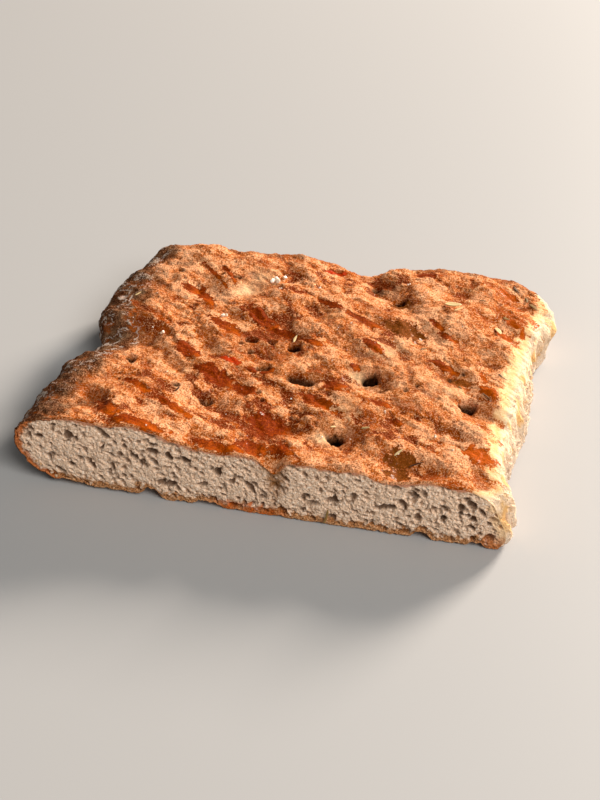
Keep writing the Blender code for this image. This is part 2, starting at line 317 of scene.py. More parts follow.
def wallPoints(side, t, level):
    # rows follow level, columns follow t
    point, outward = side(t)
    torn = smoothStep(0.25, 0.95, outward[:, 0])
    back = smoothStep(0.2, 0.9, outward[:, 1])
    reach = form["reachLeft"] + (form["reachBack"] - form["reachLeft"]) * back
    corner = np.hypot(point[:, 0], point[:, 1] - form["topDepth"]) / form["cornerPinchRadius"]
    reach = reach * (1.0 - form["cornerPinch"] * np.exp(-corner ** 2))
    tornReach = np.full(len(torn), form["reachTorn"])
    for cy, halfWidth, swell in tornSwells:
        tornReach += swell * bell(point[:, 1], cy, halfWidth)
    reach = reach + (tornReach - reach) * torn
    top = point + outward * bumps(edgeLobes, point[:, 0], point[:, 1])[:, None]
    zTop = topHeight(top[:, 0], top[:, 1])
    zLow = edgeHeight(top[:, 0], top[:, 1])
    level = np.atleast_1d(level)[:, None]
    out, high = sideProfile(level, torn[None])
    phase = point[None, :, 1] / form["ridgeWave"] + form["ridgeLean"] * level
    ridge = form["ridgeDepth"] * np.sin(2.0 * math.pi * phase) * np.sin(5.0 * phase)
    push = reach[None] * out + torn[None] * ridge * np.sin(math.pi * level)
    for cy, halfWidth, inward in tornUndercuts:
        push = push - torn * inward * bell(point[:, 1], cy, halfWidth) * smoothStep(0.15, 0.75, level)
    place = top[None] + outward[None] * push[..., None]
    return np.concatenate([place, (zLow + (zTop - zLow) * high)[..., None]], -1)


def cutPoints(t, level):
    # the plane of the cut, rows follow level, columns follow t
    level = np.atleast_1d(level)
    end = np.zeros(1)
    left, right = (wallPoints(side, end, level)[:, 0] for side in (leftSide, rightSide))
    leftTop, rightTop = (wallPoints(side, end, 0.0)[0, 0, 0] for side in (leftSide, rightSide))
    x = left[:, :1] + (right[:, :1] - left[:, :1]) * t[None]
    xTop = leftTop + (rightTop - leftTop) * t
    zTop = topHeight(xTop, 0.0 * t)
    zLow = edgeHeight(xTop, 0.0 * t)
    highLeft, highRight = (sideProfile(level, torn)[1][:, None] for torn in (0.0, 1.0))
    high = highLeft + (highRight - highLeft) * t[None]
    return xyz(x, 0.0, zLow + (zTop - zLow) * high)


def blendGrid(front, back, left, right, u, v):
    # fills a sheet between four edges, front and back along u, left and right along v
    uu, vv = u[:, None, None], v[None, :, None]
    grid = (1.0 - vv) * front[:, None] + vv * back[:, None] + (1.0 - uu) * left[None] + uu * right[None]
    grid = grid - (1.0 - uu) * (1.0 - vv) * front[0] - uu * (1.0 - vv) * front[-1]
    return grid - (1.0 - uu) * vv * back[0] - uu * vv * back[-1]


def findPlace():
    # the frame's box says where the loaf stands
    ring = [wallPoints(side, steps(54), steps(7)) for side in (leftSide, backSide, rightSide)]
    own = np.concatenate([points.reshape(-1, 3) for points in ring])
    box = np.array(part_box("focaccia"))
    shift = 0.5 * (box[0] + box[1]) - 0.5 * (own.min(axis=0) + own.max(axis=0))
    shift[1:] = box[0][1:]
    return shift


place = findPlace()
print("loaf placed", [round(float(value) / mm, 2) for value in place])


def quadNormals(points, quads):
    a, b, c, d = (points[quads[:, k]] for k in range(4))
    face = np.cross(c - a, d - b)
    total = np.zeros_like(points)
    for k in range(4):
        np.add.at(total, quads[:, k], face)
    return unit(total)


def indexGrid(grid, start=0):
    return start + np.arange(grid.shape[0] * grid.shape[1]).reshape(grid.shape[:2])


def gridQuads(index):
    return np.stack([index[:-1, :-1], index[1:, :-1], index[1:, 1:], index[:-1, 1:]], -1).reshape(-1, 4)


def resample(at, known, rows):
    # the same edge with its points at other places along it
    return np.stack([np.interp(at, known, rows[:, axis]) for axis in range(3)], -1)


def finishPiece(name, mesh, masks, smooth=True):
    for maskName, values in masks.items():
        attribute = mesh.attributes.new(maskName, "FLOAT", "POINT")
        attribute.data.foreach_set("value", np.asarray(values, dtype=np.float32).ravel())
    if smooth:
        mesh.shade_smooth()
    piece = bpy.data.objects.new(name, mesh)
    bpy.context.scene.collection.objects.link(piece)
    print(name, "built,", len(mesh.polygons), "faces")
    return piece


def makePiece(name, points, quads, uv, masks, normals=None):
    # points are in the loaf's own measures and are moved to the frame here
    points = points.reshape(-1, 3).copy()
    points[:, 2] = np.maximum(points[:, 2], 0.0)   # nothing reaches below the base
    mesh = bpy.data.meshes.new(name)
    mesh.vertices.add(len(points))
    mesh.vertices.foreach_set("co", (points + place).astype(np.float32).ravel())
    mesh.loops.add(quads.size)
    mesh.loops.foreach_set("vertex_index", quads.astype(np.int32).ravel())
    mesh.polygons.add(len(quads))
    mesh.polygons.foreach_set("loop_start", np.arange(0, quads.size, 4, dtype=np.int32))
    mesh.update(calc_edges=True)
    mesh.validate()
    uv = uv.reshape(-1, 2)
    low, high = uv.min(axis=0), uv.max(axis=0)
    flat = 0.01 + 0.98 * (uv - low) / (high - low)   # a small margin round the map
    layer = mesh.uv_layers.new(name="OFBake")
    layer.data.foreach_set("uv", flat[quads.ravel()].astype(np.float32).ravel())
    piece = finishPiece(name, mesh, masks)
    if normals is not None:
        mesh.normals_split_custom_set_from_vertices(normals.astype(np.float32))
    return piece


# Oiled patches of the top
oilPatches = {
    "edge": 0.54,            # how wavy their outline is
    "edgeSize": 3.2 * mm,
    # x, y, half length, half width, angle
    "deepRed": inMetres(4, (
        (62.4, 99.1, 11.5, 4.5, -32), (75.2, 90.1, 9, 2.8, -17), (68.7, 45, 8.5, 3.2, -32),
        (57.9, 62.7, 5.2, 2.7, -20), (72.6, 59.3, 6.5, 3, 2), (86.5, 148.7, 7, 2.2, 20),
        (132.1, 151.3, 7, 2.6, -15), (174.1, 120.9, 6, 2, -40), (172.8, 109.9, 5.6, 1.7, -39),
        (92.7, 113.1, 8.5, 2.1, -31), (36.3, 67.9, 9, 4, -38), (84.4, 25.5, 11.5, 6.8, -17),
        (92, 8.1, 7.2, 3.5, -10), (15.1, 84.5, 5, 2.5, -28), (54.5, 51, 11.5, 5.3, -31),
    )),
    "amber": inMetres(4, (
        (89.3, 83.2, 7.1, 2, -24), (171.2, 144.6, 5.8, 2.3, -30), (179.8, 114.9, 4.5, 1.2, -83),
        (109.7, 104.7, 12, 2, -23), (116.9, 83.9, 7.4, 3, -43), (148.4, 78.9, 8, 2.2, -23),
        (111.2, 69.3, 2.8, 2, -23), (106.2, 54.4, 7.3, 4, -33), (82.5, 8, 8.5, 5.2, -8),
        (33.9, 5.2, 14, 4.2, -11), (17.7, 14.2, 11, 4, -41), (23.3, 118, 5.6, 3, -11),
        (32.4, 112.2, 12.5, 3.2, -56), (31, 131.2, 14.5, 1.2, -49), (38.7, 131.2, 11, 1.4, -52),
        (15.1, 84.5, 10.8, 3.7, -28), (48, 89.2, 10.1, 3.3, -26), (171.6, 22.4, 7.7, 4.7, -25),
        (135.7, 36.7, 3, 1.7, -24), (127.5, 45, 5.1, 2.3, -13), (170.7, 64.3, 6.3, 2.8, -45),
        (166.8, 76.3, 3.6, 1.4, -63), (23.2, 35.7, 11.8, 2.2, -34), (43, 22.6, 14, 2.2, -33),
        (10.3, 94.6, 17.2, 2, -36), (141.3, 108.8, 5.3, 1.5, -42), (147.8, 100.6, 5.2, 1.8, -29),
        (101.1, 42.3, 11.1, 4, -31), (68, 4.1, 13, 3, -6),
    )),
    "red": inMetres(4, (
        (57.9, 62.7, 4.8, 2.4, -20), (87, 148, 6, 2, 20),
    )),
    "olive": inMetres(4, (
        (129, 101.4, 11, 6, -26), (156.3, 71.7, 9.6, 2.3, -1), (141, 13.5, 6.6, 5.8, -9),
        (140.8, 6.1, 6, 2.7, 0), (122.2, 124.4, 6, 4.5, 0),
    )),
}


def patchMask(name, x, y, wobble):
    # slanting ovals in one mask, and how far towards its lower end each point lies, -1 to 1
    mask = np.zeros_like(x)
    lower = np.zeros_like(x)
    for cx, cy, halfLength, halfWidth, angle in oilPatches[name]:
        along, across = ovalShare(x - cx, y - cy, halfLength, halfWidth, angle)
        own = smoothStep(1.24, 0.62, np.hypot(along, across) + wobble)
        lower = np.where(own > mask, along, lower)
        mask = np.maximum(mask, own)
    return mask, lower


# Crust: top and baked sides
crust = {
    "columns": 340,
    "rows": 280,
    "sideRows": 56,
    "streakAngle": -36.0,      # valleys and wrinkles run this way
    "islandSize": 12.0 * mm,   # puffed islands between oily valleys
    "islandStretch": 1.6,
    "islandHeight": 0.70 * mm,
    "islandWander": 4.0 * mm,
    "swellSize": 9.0 * mm,
    "swellHeight": 0.55 * mm,
    "flakeSize": 5.0 * mm,     # torn flakes with steep little edges
    "flakeHeight": 0.16 * mm,
    "wrinkleSize": 3.4 * mm,
    "wrinkleStretch": 2.6,
    "wrinkleHeight": 0.14 * mm,
    "mottleSize": 3.6 * mm,    # browner and paler patches of the dry crust
    "crackSize": 7.0 * mm,     # thin cracks between the islands
    "crackDepth": 0.45 * mm,
    "grainSize": 1.8 * mm,
    "grainHeight": 0.24 * mm,
    "fineSize": 1.1 * mm,
    "fineHeight": 0.30 * mm,
    "pitSize": 3.0 * mm,
    "pitShare": 0.30,
    "pitDepth": 0.7 * mm,
    "rimRaise": 0.35 * mm,     # lip round each finger hole
    "raggedSize": 3.8 * mm,    # wander of the torn edge
    "raggedReach": 2.1 * mm,
    "paleWidth": 6.8 * mm,     # soft pale band above the torn edge
    "darkWidth": 15.0 * mm,    # scorched band along the left side
    "flourSize": 8.0 * mm,     # web of flour on the left side
    # how much deeper each finger hole is, and how much painted shade darkens it, in its table's order
    "holeExtra": (2.0, 2.2, 1.6, 0.8, 1.2, 0.4, 1.8, -0.8, 1.2, 1.2, 0.8),
    "holeShade": (1.0, 1.0, 0.9, 0.6, 0.7, 0.6, 0.9, 0.55, 0.8, 0.7, 0.65),
}
# x, y, radius, depth: small pits and slits
smallPits = inMetres(4, (
    (75.2, 43.1, 0.9, 2.2), (64.1, 72.3, 1.2, 2.2), (58.4, 76.8, 1, 1.6), (125.2, 56.4, 1.2, 1.8),
    (135.8, 56.1, 0.9, 1.4), (140.2, 60.1, 0.8, 1.2), (78.2, 38.5, 0.8, 1.4), (157.8, 77.1, 0.9, 1.4),
    (152.9, 72, 0.8, 1.4), (169.5, 102.7, 1, 1.4), (14.6, 130.4, 1.2, 1.8), (35.2, 130.1, 1, 1.6),
    (42, 129, 0.9, 1.6), (44.3, 129.5, 0.9, 1.4), (40.4, 39.2, 1.3, 1.6), (14.9, 54.6, 1.1, 2),
))
# x, y, radius, amount: greyish, less baked dough round the holes
greySpots = inMetres(3, (
    (110.9, 35.1, 6, 0.8), (117.3, 47.3, 5, 0.8), (112.5, 43.7, 5, 0.6), (59.7, 92.7, 3, 0.9),
    (73.1, 78.2, 5, 0.8), (83.3, 75.3, 4.5, 0.8), (63.2, 78.3, 4, 0.7), (78.4, 62.2, 3.4, 0.8),
    (78.2, 43.3, 3.6, 0.8), (95.6, 102.8, 4.6, 0.7), (108.9, 70.7, 3, 0.8), (115.5, 143.6, 6, 0.7),
    (122.8, 122.5, 4, 0.7), (153.1, 143.4, 4, 0.8), (144.2, 108.4, 6, 0.5), (156.7, 84.6, 6, 0.6),
    (122, 88.3, 6, 0.5), (132.9, 50.4, 6, 0.4), (162.8, 54.3, 3.4, 0.5), (50.5, 92.1, 4, 0.8),
    (39.8, 52.6, 5, 0.6), (95.5, 52.3, 4, 0.5), (114.4, 20.2, 5, 0.6), (12.4, 31.3, 8, 0.4),
))
# x, y, radius, amount: browner below zero, paler above; partly the crust's own browning, partly painted
# shade and light of its swells
browningAndShadeZones = inMetres(3, (
    (70, 76, 16, -0.75), (83, 19, 10, -0.8), (66, 88, 7, -0.4), (10, 27, 11, -0.45),
    (121, 34, 13, -0.65), (155, 65, 6, -0.3), (33, 116, 12, 0.75), (30, 135, 10, 0.4),
    (66, 105, 8, 0.45), (134, 103, 10, 0.55), (108, 40, 7, 0.6), (131, 29, 6, 0.5), (42, 54, 8, 0.45),
    (169, 29, 12, 0.75), (166, 64, 9, 0.7),
))
# x, y, radius, amount: where the oil gathered in the valleys
oiledZones = inMetres(3, (
    (20, 12, 30, 0.9), (55, 42, 22, 0.8), (85, 18, 22, 0.9), (72, 92, 16, 0.8), (78, 130, 20, 0.9),
    (12, 90, 18, 0.7), (30, 112, 12, 0.6), (105, 50, 16, 0.6), (125, 95, 16, 0.7), (130, 30, 20, 0.5),
    (165, 22, 20, 0.9), (168, 65, 12, 0.7), (175, 120, 16, 0.8), (115, 140, 16, 0.8),
    (150, 148, 18, 0.6),
))
# x, y, radius, amount: scorched spots
darkSpots = inMetres(3, (
    (9.1, 20.8, 5.5, 0.9), (113.7, 142, 6.5, 0.9), (109, 135.4, 4, 0.8), (15.5, 137.5, 6, 0.7),
    (64.3, 76.7, 5, 0.4), (83.4, 75.5, 4, 0.4), (54.8, 34.3, 4.5, 0.8), (163.2, 51.7, 4, 0.4),
    (39.9, 39.1, 3, 0.7), (14.9, 54.6, 3, 0.5), (153, 143.4, 3, 0.5),
))
# x, y, radius, amount: floury, hardly browned spots; the two left of the big finger holes are painted light
# on those lit rims
flouryAndLitSpots = inMetres(3, (
    (49, 121.6, 6, 0.9), (113.7, 63.7, 4.6, 1), (107.6, 20.9, 3.4, 0.9), (123.9, 83.7, 10, 0.45),
    (53.9, 133.6, 6, 0.5), (114.9, 33.8, 7, 0.3), (149.9, 60.7, 9, 0.35), (177.9, 33.7, 10, 0.3),
))


def crustRelief(points, masks, fields):
    noise = partial(layeredNoise, points)
    relief = crust["islandHeight"] * (0.4 - fields["valley"]) * (0.6 + 0.8 * fields["island"])
    relief += crust["swellHeight"] * fields["swell"]
    flakes = smoothStep(-0.04, 0.05, noise(crust["flakeSize"], 211, 4, 0.65))
    relief += crust["flakeHeight"] * (flakes - 0.5)
    streak = slanted(points, crust["streakAngle"], crust["wrinkleStretch"])
    wrinkles = 1.0 - 2.0 * np.abs(layeredNoise(streak, crust["wrinkleSize"], 31, 2))
    relief += crust["wrinkleHeight"] * (wrinkles - 0.5)
    relief -= crust["crackDepth"] * masks["crack"]
    grain = 0.3 - np.abs(noise(crust["grainSize"], 41, 2, 0.8))
    fine = noise(crust["fineSize"], 43, 1)
    pitNear, _, pitOwn = cellNoise(points, crust["pitSize"], 51)
    pits = (pitOwn < crust["pitShare"]) * smoothStep(0.24, 0.05, pitNear)
    rough = crust["grainHeight"] * grain + crust["fineHeight"] * fine - crust["pitDepth"] * pits
    relief += (1.0 - 0.8 * masks["oil"]) * rough   # oil fills the grain
    relief *= 1.0 - 0.60 * masks["pale"]
    x, y = points[..., 0], points[..., 1]
    onTop = points[..., 2] > 12.0 * mm
    for (cx, cy, radius, _), extra in zip(fingerHoles, crust["holeExtra"]):
        away = np.hypot(x - cx, y - cy) / radius
        shape = crust["rimRaise"] * bell(away, 1.45, 0.4) - extra * mm * smoothStep(1.05, 0.35, away)
        relief = relief + shape * onTop
    return relief - bumps(smallPits, x, y, 2.5) * onTop


def leftEdge(y):
    line = wallPoints(leftSide, steps(199), 0.0)[0]
    return np.interp(y, line[:, 1], line[:, 0])


def crustMasks(points):
    x, y, z = points[..., 0], points[..., 1], points[..., 2]
    noise = partial(layeredNoise, points)

    def streaked(size, seed, layers, fade, stretch, angle=crust["streakAngle"]):
        return layeredNoise(slanted(points, angle, stretch), size, seed, layers, fade)

    # puffed islands and the valleys between them
    wander = np.stack([noise(7.0 * mm, seed, 3, 0.6) for seed in (201, 202, 203)], -1)
    moved = slanted(points + crust["islandWander"] * wander, crust["streakAngle"], crust["islandStretch"])
    near, second, own = cellNoise(moved, crust["islandSize"], 205)
    swell = streaked(crust["swellSize"], 207, 3, 0.6, 1.8)
    islands = np.clip(0.62 * smoothStep(0.0, 0.36, second - near) + 0.20 + 0.75 * swell, 0.0, 1.0)
    onTop = smoothStep(6.0 * mm, 18.0 * mm, z)
    inFromLeft = x - leftEdge(y)
    # oil
    wobble = oilPatches["edge"] * noise(oilPatches["edgeSize"], 61, 4, 0.65)
    deep, deepLower = patchMask("deepRed", x, y, wobble)
    amber, amberLower = patchMask("amber", x, y, wobble)
    olive, _ = patchMask("olive", x, y, wobble)
    red, _ = patchMask("red", x, y, wobble)
    # painted light shining through the oil at the lower ends of the patches and along the front edge, and a
    # brighter orange over the right part
    paintedGlow = np.maximum(deep * smoothStep(0.40, 1.0, deepLower), amber * smoothStep(-0.30, 0.95, amberLower))
    paintedGlow = np.maximum(paintedGlow, 0.9 * smoothStep(142.0 * mm, 165.0 * mm, x))
    paintedGlow = np.maximum(paintedGlow, 0.65 * smoothStep(6.0 * mm, 1.0 * mm, y + 8.0 * mm * wobble))
    zone = np.clip(bumps(oiledZones, x, y), 0.0, 1.0)
    browningAndShade = bumps(browningAndShadeZones, x, y)
    soaked = (1.0 - islands) * 0.7 + 0.5 * streaked(6.0 * mm, 63, 4, 0.6, 2.0)
    soaked = smoothStep(0.18, 0.66, soaked * (0.42 + 0.8 * zone) - 0.35 * browningAndShade)
    oil = np.maximum(np.maximum(np.maximum(deep, amber), 0.85 * olive), 0.62 * soaked) * onTop
    oil = oil * (1.0 - 0.45 * smoothStep(30.0 * mm, 6.0 * mm, inFromLeft))
    # browning
    mottle = streaked(crust["mottleSize"], 65, 4, 0.7, 1.4)
    tone = 0.16 + 0.58 * islands + 0.22 * (own - 0.5) + 0.40 * mottle + 0.75 * browningAndShade
    fromRight = tornEdge(y) - x
    wavy = 2.6 * mm * noise(6.0 * mm, 81, 4, 0.7)
    pale = smoothStep(crust["paleWidth"], 0.55 * crust["paleWidth"], fromRight + wavy)
    torn = smoothStep(2.6 * mm, -0.4 * mm, fromRight + 0.4 * wavy)
    fromLeft = inFromLeft + 5.0 * mm * noise(14.0 * mm, 91, 3, 0.6)
    fromBack = form["topDepth"] - y + 3.0 * mm * noise(10.0 * mm, 95, 2)
    dark = 0.95 * smoothStep(crust["darkWidth"], -4.0 * mm, fromLeft)
    dark = np.maximum(dark, 0.6 * smoothStep(4.0 * mm, -7.0 * mm, fromBack) * (1.0 - pale))
    dark = dark + bumps(darkSpots, x, y)
    light = bumps(flouryAndLitSpots, x, y) + 0.25 * noise(5.0 * mm, 97, 2)
    grey = np.clip(bumps(greySpots, x, y) * (1.0 + 0.9 * noise(3.0 * mm, 93, 3, 0.7)), 0.0, 1.0)
    # painted shade in the holes, slit and small pits, then cracks and flour
    ragged = 1.0 + 0.35 * noise(2.5 * mm, 87, 2)
    hole = 0.92 * smoothStep(0.15, 0.70, slitShape(x, y))
    for (cx, cy, radius, _), darkness in zip(fingerHoles, crust["holeShade"]):
        away = np.hypot((x - cx) / (1.15 * radius), (y - cy) / (0.98 * radius)) * ragged
        hole = np.maximum(hole, darkness * smoothStep(1.25, 0.70, away))
    pits = [(cx, cy, 1.2 * radius, 0.9) for cx, cy, radius, _ in smallPits]
    hole = np.clip(np.maximum(hole, bumps(pits, x, y)), 0.0, 1.0)
    veins = streaked(crust["crackSize"], 96, 3, 0.6, 1.5)
    crack = smoothStep(0.055, 0.0, np.abs(veins)) * smoothStep(-0.05, 0.35, noise(16.0 * mm, 98, 1))
    wall = smoothStep(33.0 * mm, 25.0 * mm, z) * smoothStep(8.0 * mm, 1.0 * mm, inFromLeft)
    lines = 1.0 - 5.0 * np.abs(streaked(crust["flourSize"], 99, 3, 0.55, 1.5, 30.0))
    masks = {"oil": oil, "deep": deep * onTop, "olive": olive * onTop, "paintedGlow": paintedGlow * onTop,
             "red": red * onTop, "pale": pale, "torn": torn, "dark": np.clip(dark, 0.0, 1.0),
             "light": np.clip(light, 0.0, 1.0), "tone": np.clip(tone, -0.1, 1.0), "hole": hole * onTop,
             "grey": grey * onTop, "crack": crack, "flour": smoothStep(0.35, 0.82, lines) * wall}
    return masks, {"valley": 1.0 - islands, "island": own, "swell": swell}


def buildCrust():
    u, v, levels = (steps(crust[key]) for key in ("columns", "rows", "sideRows"))
    left = wallPoints(leftSide, v, levels)
    back = wallPoints(backSide, u, levels)
    right = wallPoints(rightSide, v, 0.0)[0]
    front = cutPoints(u, 0.0)[0]
    top = blendGrid(front, back[0], left[0], right, u, v)
    top[..., 2] = topHeight(top[..., 0], top[..., 1])
    wander = crust["raggedReach"] * layeredNoise(xyz(0.0, top[..., 1], 0.0), crust["raggedSize"], 88, 2)
    top[..., 0] += wander * smoothStep(0.97, 1.0, u)[:, None] * smoothStep(0.0, 0.03, v)[None]
    skirt = np.concatenate([left, back[:, 1:]], axis=1)[1:]
    topIndex = indexGrid(top)
    rim = np.concatenate([topIndex[0], topIndex[1:, -1]])
    skirtIndex = np.concatenate([rim[None], indexGrid(skirt, topIndex.size)])
    points = np.concatenate([top.reshape(-1, 3), skirt.reshape(-1, 3)])
    topQuads = gridQuads(topIndex)
    sideQuads = gridQuads(skirtIndex.T)
    normals = quadNormals(points, np.concatenate([topQuads, sideQuads]))
    normals[np.concatenate([topIndex[:, 0], skirtIndex[:, 0]]), 1] = 0.0   # the cut stays in its plane
    masks, fields = crustMasks(points)
    points = points + unit(normals) * crustRelief(points, masks, fields)[:, None]
    return points, topIndex, skirtIndex, topQuads, sideQuads, masks


crustPoints, topIndex, skirtIndex, topQuads, sideQuads, crustMask = buildCrust()
print("crust shaped,", len(crustPoints), "points")


def addLip(points, masks, path, first, second, offsets):
    # a narrow lip that rolls the crust's edge over its neighbour, a row for each pair of offsets in mm
    rows = [path]
    for along, across in offsets:
        rows.append(len(points) + np.arange(len(path)))
        points = np.concatenate([points, points[path] + (first * along + second * across) * mm])
        masks = {key: np.concatenate([values, values[path]]) for key, values in masks.items()}
    return points, masks, gridQuads(np.stack(rows, -1))


def finishCrust():
    cutPath = np.concatenate([skirtIndex[:0:-1, 0], topIndex[:, 0]])
    tearPath = np.concatenate([topIndex[-1, :], skirtIndex[1:, -1]])
    basePath = skirtIndex[-1, :]
    points, masks = crustPoints, crustMask
    forward, away, down = np.array([[0.0, -1.0, 0.0], [1.0, 0.0, 0.0], [0.0, 0.0, -1.0]])
    outward = unit(np.cross(np.gradient(points[cutPath], axis=0), forward))
    inward = np.array([form["topLength"] / 2.0, form["topDepth"] / 2.0, 0.0]) - points[basePath]
    inward[:, 2] = 0.0
    points, masks, cutQuads = addLip(points, masks, cutPath, forward, outward,
                                     ((0.05, -0.12), (-0.08, -0.40), (-0.9, -0.75)))
    points, masks, tearQuads = addLip(points, masks, tearPath, away, down,
                                      ((0.06, 0.12), (-0.15, 0.35), (-1.2, 0.8)))
    baseOffsets = ((0.4, -0.05), (1.5, -0.5))
    points, masks, baseQuads = addLip(points, masks, basePath, unit(inward), down, baseOffsets)
    cutSplit = 3 * (len(skirtIndex) - 1)   # where each lip passes from the side to the top
    tearSplit = 3 * crust["rows"]
    allTop = np.concatenate([topQuads, cutQuads[cutSplit:], tearQuads[:tearSplit]])
    allSide = np.concatenate([sideQuads, cutQuads[:cutSplit], tearQuads[tearSplit:], baseQuads[:, ::-1]])
    normals = quadNormals(points, np.concatenate([allTop, allSide]))
    topMap = points[:, :2]
    sideMap = np.stack([points[:, 0] - points[:, 1], points[:, 2]], -1)
    pieces = []
    for name, quads, uv in (("topCrust", allTop, topMap), ("sideCrust", allSide, sideMap)):
        used, flat = np.unique(quads, return_inverse=True)
        ownMasks = {key: values[used] for key, values in masks.items()}
        pieces.append(makePiece(name, points[used], flat.reshape(-1, 4), uv[used], ownMasks, normals[used]))
    return pieces


topCrust, sideCrust = finishCrust()

# Cut crumb
cutCrumb = {
    "columns": 720,
    "rows": 124,
    "raster": 0.15 * mm,
    "bubbles": (                 # how many, smallest and largest radius in mm, longest shape
        (210, 1.00, 1.90, 1.8),
        (1500, 0.55, 1.15, 1.5),
        (3000, 0.28, 0.55, 1.3),
    ),
    "crowdSize": 9.0 * mm,       # bubbles crowd together at about this size
    "roughSize": 0.8 * mm,
    "roughHeight": 0.14 * mm,
    "waveSize": 6.5 * mm,
    "waveHeight": 0.75 * mm,
    "warpSize": 3.6 * mm,        # how the bubbles' outlines are pulled about
    "warpReach": 0.55 * mm,
    "slant": -32.0,
    "slantSpread": 50.0,
    "topRim": 1.0 * mm,
    "lowRim": 3.0 * mm,
    "leftRim": 1.7 * mm,
    "rightRim": 4.2 * mm,
    "seamX": 92.5 * mm,          # stained seam below the notch in the front edge
    "seamDepth": 1.2 * mm,
    "bigPores": (                # x, z, half length, half width, angle, behind, depth, all in mm
        (-7, 24, 1.9, 1.6, 20, 0.9, 2.2), (-3.5, 14, 2.4, 1, -65, 0.2, 1.6),
        (0.6, 8, 1.9, 1.2, -50, 0.8, 2), (10.5, 15.6, 2.3, 1.6, -35, -0.3, 1.8),
        (15.6, 11.8, 1.8, 1.2, -15, 0.1, 1.5), (21, 30.8, 4.6, 1.6, -42, 0.1, 1.9),
        (32.5, 29, 1.8, 1, -50, 0, 1.2), (24.5, 19.5, 4.8, 0.7, -24, 0.3, 1.3),
        (20.5, 23, 2.3, 0.45, 55, 0.4, 1.5), (36.5, 18, 1.9, 0.8, -80, 0.5, 1.6),
        (42.5, 19.3, 2.3, 1.7, -48, 0.1, 1.9), (50, 29.6, 3.2, 0.9, -8, 0, 1.2),
        (62.5, 11.3, 3, 1.2, 22, 0.1, 1.6), (62.8, 22, 1.5, 1.1, -30, 0, 1),
        (70.3, 19.4, 1, 0.9, 0, 0.2, 1.1), (76, 17, 2.6, 0.8, 80, 0.1, 1.4),
        (82.5, 13.5, 3.8, 1.5, -52, 0.1, 2.1), (73.5, 22, 1.6, 0.9, 10, 0, 0.9),
        (97.5, 20.2, 1.5, 1.1, -30, 0.5, 1.6), (111.5, 17.2, 1.9, 0.8, 85, 0.1, 1.2),
        (118.6, 22.6, 1.9, 0.8, -20, 0.1, 1.3), (117.6, 18, 2.2, 0.7, -62, 0, 1.2),
        (108, 9.8, 3.6, 1.8, 15, -0.4, 2), (121.5, 7.6, 2, 0.9, -25, 0, 1.2),
        (137.5, 13.4, 5.2, 1.6, 14, 0.3, 2.3), (148.7, 19.2, 2, 1.1, 70, 0.2, 1.5),
        (145.3, 15.7, 1.9, 1.1, 25, 0, 1.4), (160.8, 12.7, 1.4, 1.3, 0, 1.2, 2.4),
        (154.6, 15.2, 2, 1, 15, 0.1, 1.4), (171.3, 21, 2.5, 1.9, -58, 0.4, 2.4),
        (172, 9.6, 2, 1, -28, 0.5, 1.7), (165.3, 6.6, 1.6, 0.6, -18, 0.2, 1),
        (142.3, 24, 1.2, 0.8, 0, 0.2, 1.1), (126, 25, 1.6, 0.8, -25, 0.3, 1.3),
        (158, 9, 1.4, 0.8, 0, 0, 1), (88, 9, 1.6, 1, 0, 0.1, 1.2),
    ),
}


def bubbleList(low, high, seed):
    # x, z, half length, half width, angle, how far the centre lies behind the cut, depth
    rng = np.random.RandomState(seed)
    pores = [[value if k == 4 else value * mm for k, value in enumerate(pore)]
             for pore in cutCrumb["bigPores"]]
    for count, small, large, longest in cutCrumb["bubbles"]:
        centre = rng.uniform((low[0], 0.0, low[1]), (high[0], 0.0, high[1]), size=(count, 3))
        crowd = 0.45 + 0.9 * layeredNoise(centre, cutCrumb["crowdSize"], seed + 1, 2)
        crowd = crowd + 1.2 * (centre[:, 0] - 80.0 * mm)   # more of them to the right
        for (cx, _, cz), share in zip(centre, crowd):
            size = rng.uniform(small, large) * mm
            long = size * rng.uniform(1.0, longest)
            angle = cutCrumb["slant"] + rng.normal(0.0, cutCrumb["slantSpread"])
            behind = rng.uniform(-0.55, 0.45) * size
            deep = size * rng.uniform(0.9, 1.8)
            if rng.uniform() < share or large < 0.6:
                pores.append((cx, cz, long, size, angle, behind, deep))
    return pores


def poreRaster(low, high, seed):
    # depth behind the cut of every bubble that the knife opened, on a raster over x and z
    step = cutCrumb["raster"]
    xs, zs = (np.arange(low[k], high[k] + step, step) for k in range(2))
    depth = np.zeros((len(xs), len(zs)))
    for cx, cz, halfLong, halfWide, angle, behind, deep in bubbleList(low, high, seed):
        i0, i1 = np.searchsorted(xs, (cx - halfLong, cx + halfLong))
        k0, k1 = np.searchsorted(zs, (cz - halfLong, cz + halfLong))
        if i1 <= i0 or k1 <= k0:
            continue
        dx, dz = np.meshgrid(xs[i0:i1] - cx, zs[k0:k1] - cz, indexing="ij")
        along, across = ovalShare(dx, dz, halfLong, halfWide, angle)
        inside = 1.0 - along ** 2 - across ** 2
        cup = np.where(inside > 0.0, behind + deep * np.sqrt(np.maximum(inside, 0.0)), 0.0)
        depth[i0:i1, k0:k1] = np.maximum(depth[i0:i1, k0:k1], cup)
    return xs, zs, depth


def readRaster(xs, zs, depth, x, z):
    # bilinear reading of the raster
    i = np.clip((x - xs[0]) / (xs[1] - xs[0]), 0, len(xs) - 1.001)
    k = np.clip((z - zs[0]) / (zs[1] - zs[0]), 0, len(zs) - 1.001)
    i0, k0 = i.astype(int), k.astype(int)
    fi, fk0 = i - i0, k - k0
    a = depth[i0, k0] * (1 - fi) + depth[i0 + 1, k0] * fi
    b = depth[i0, k0 + 1] * (1 - fi) + depth[i0 + 1, k0 + 1] * fi
    return a * (1 - fk0) + b * fk0


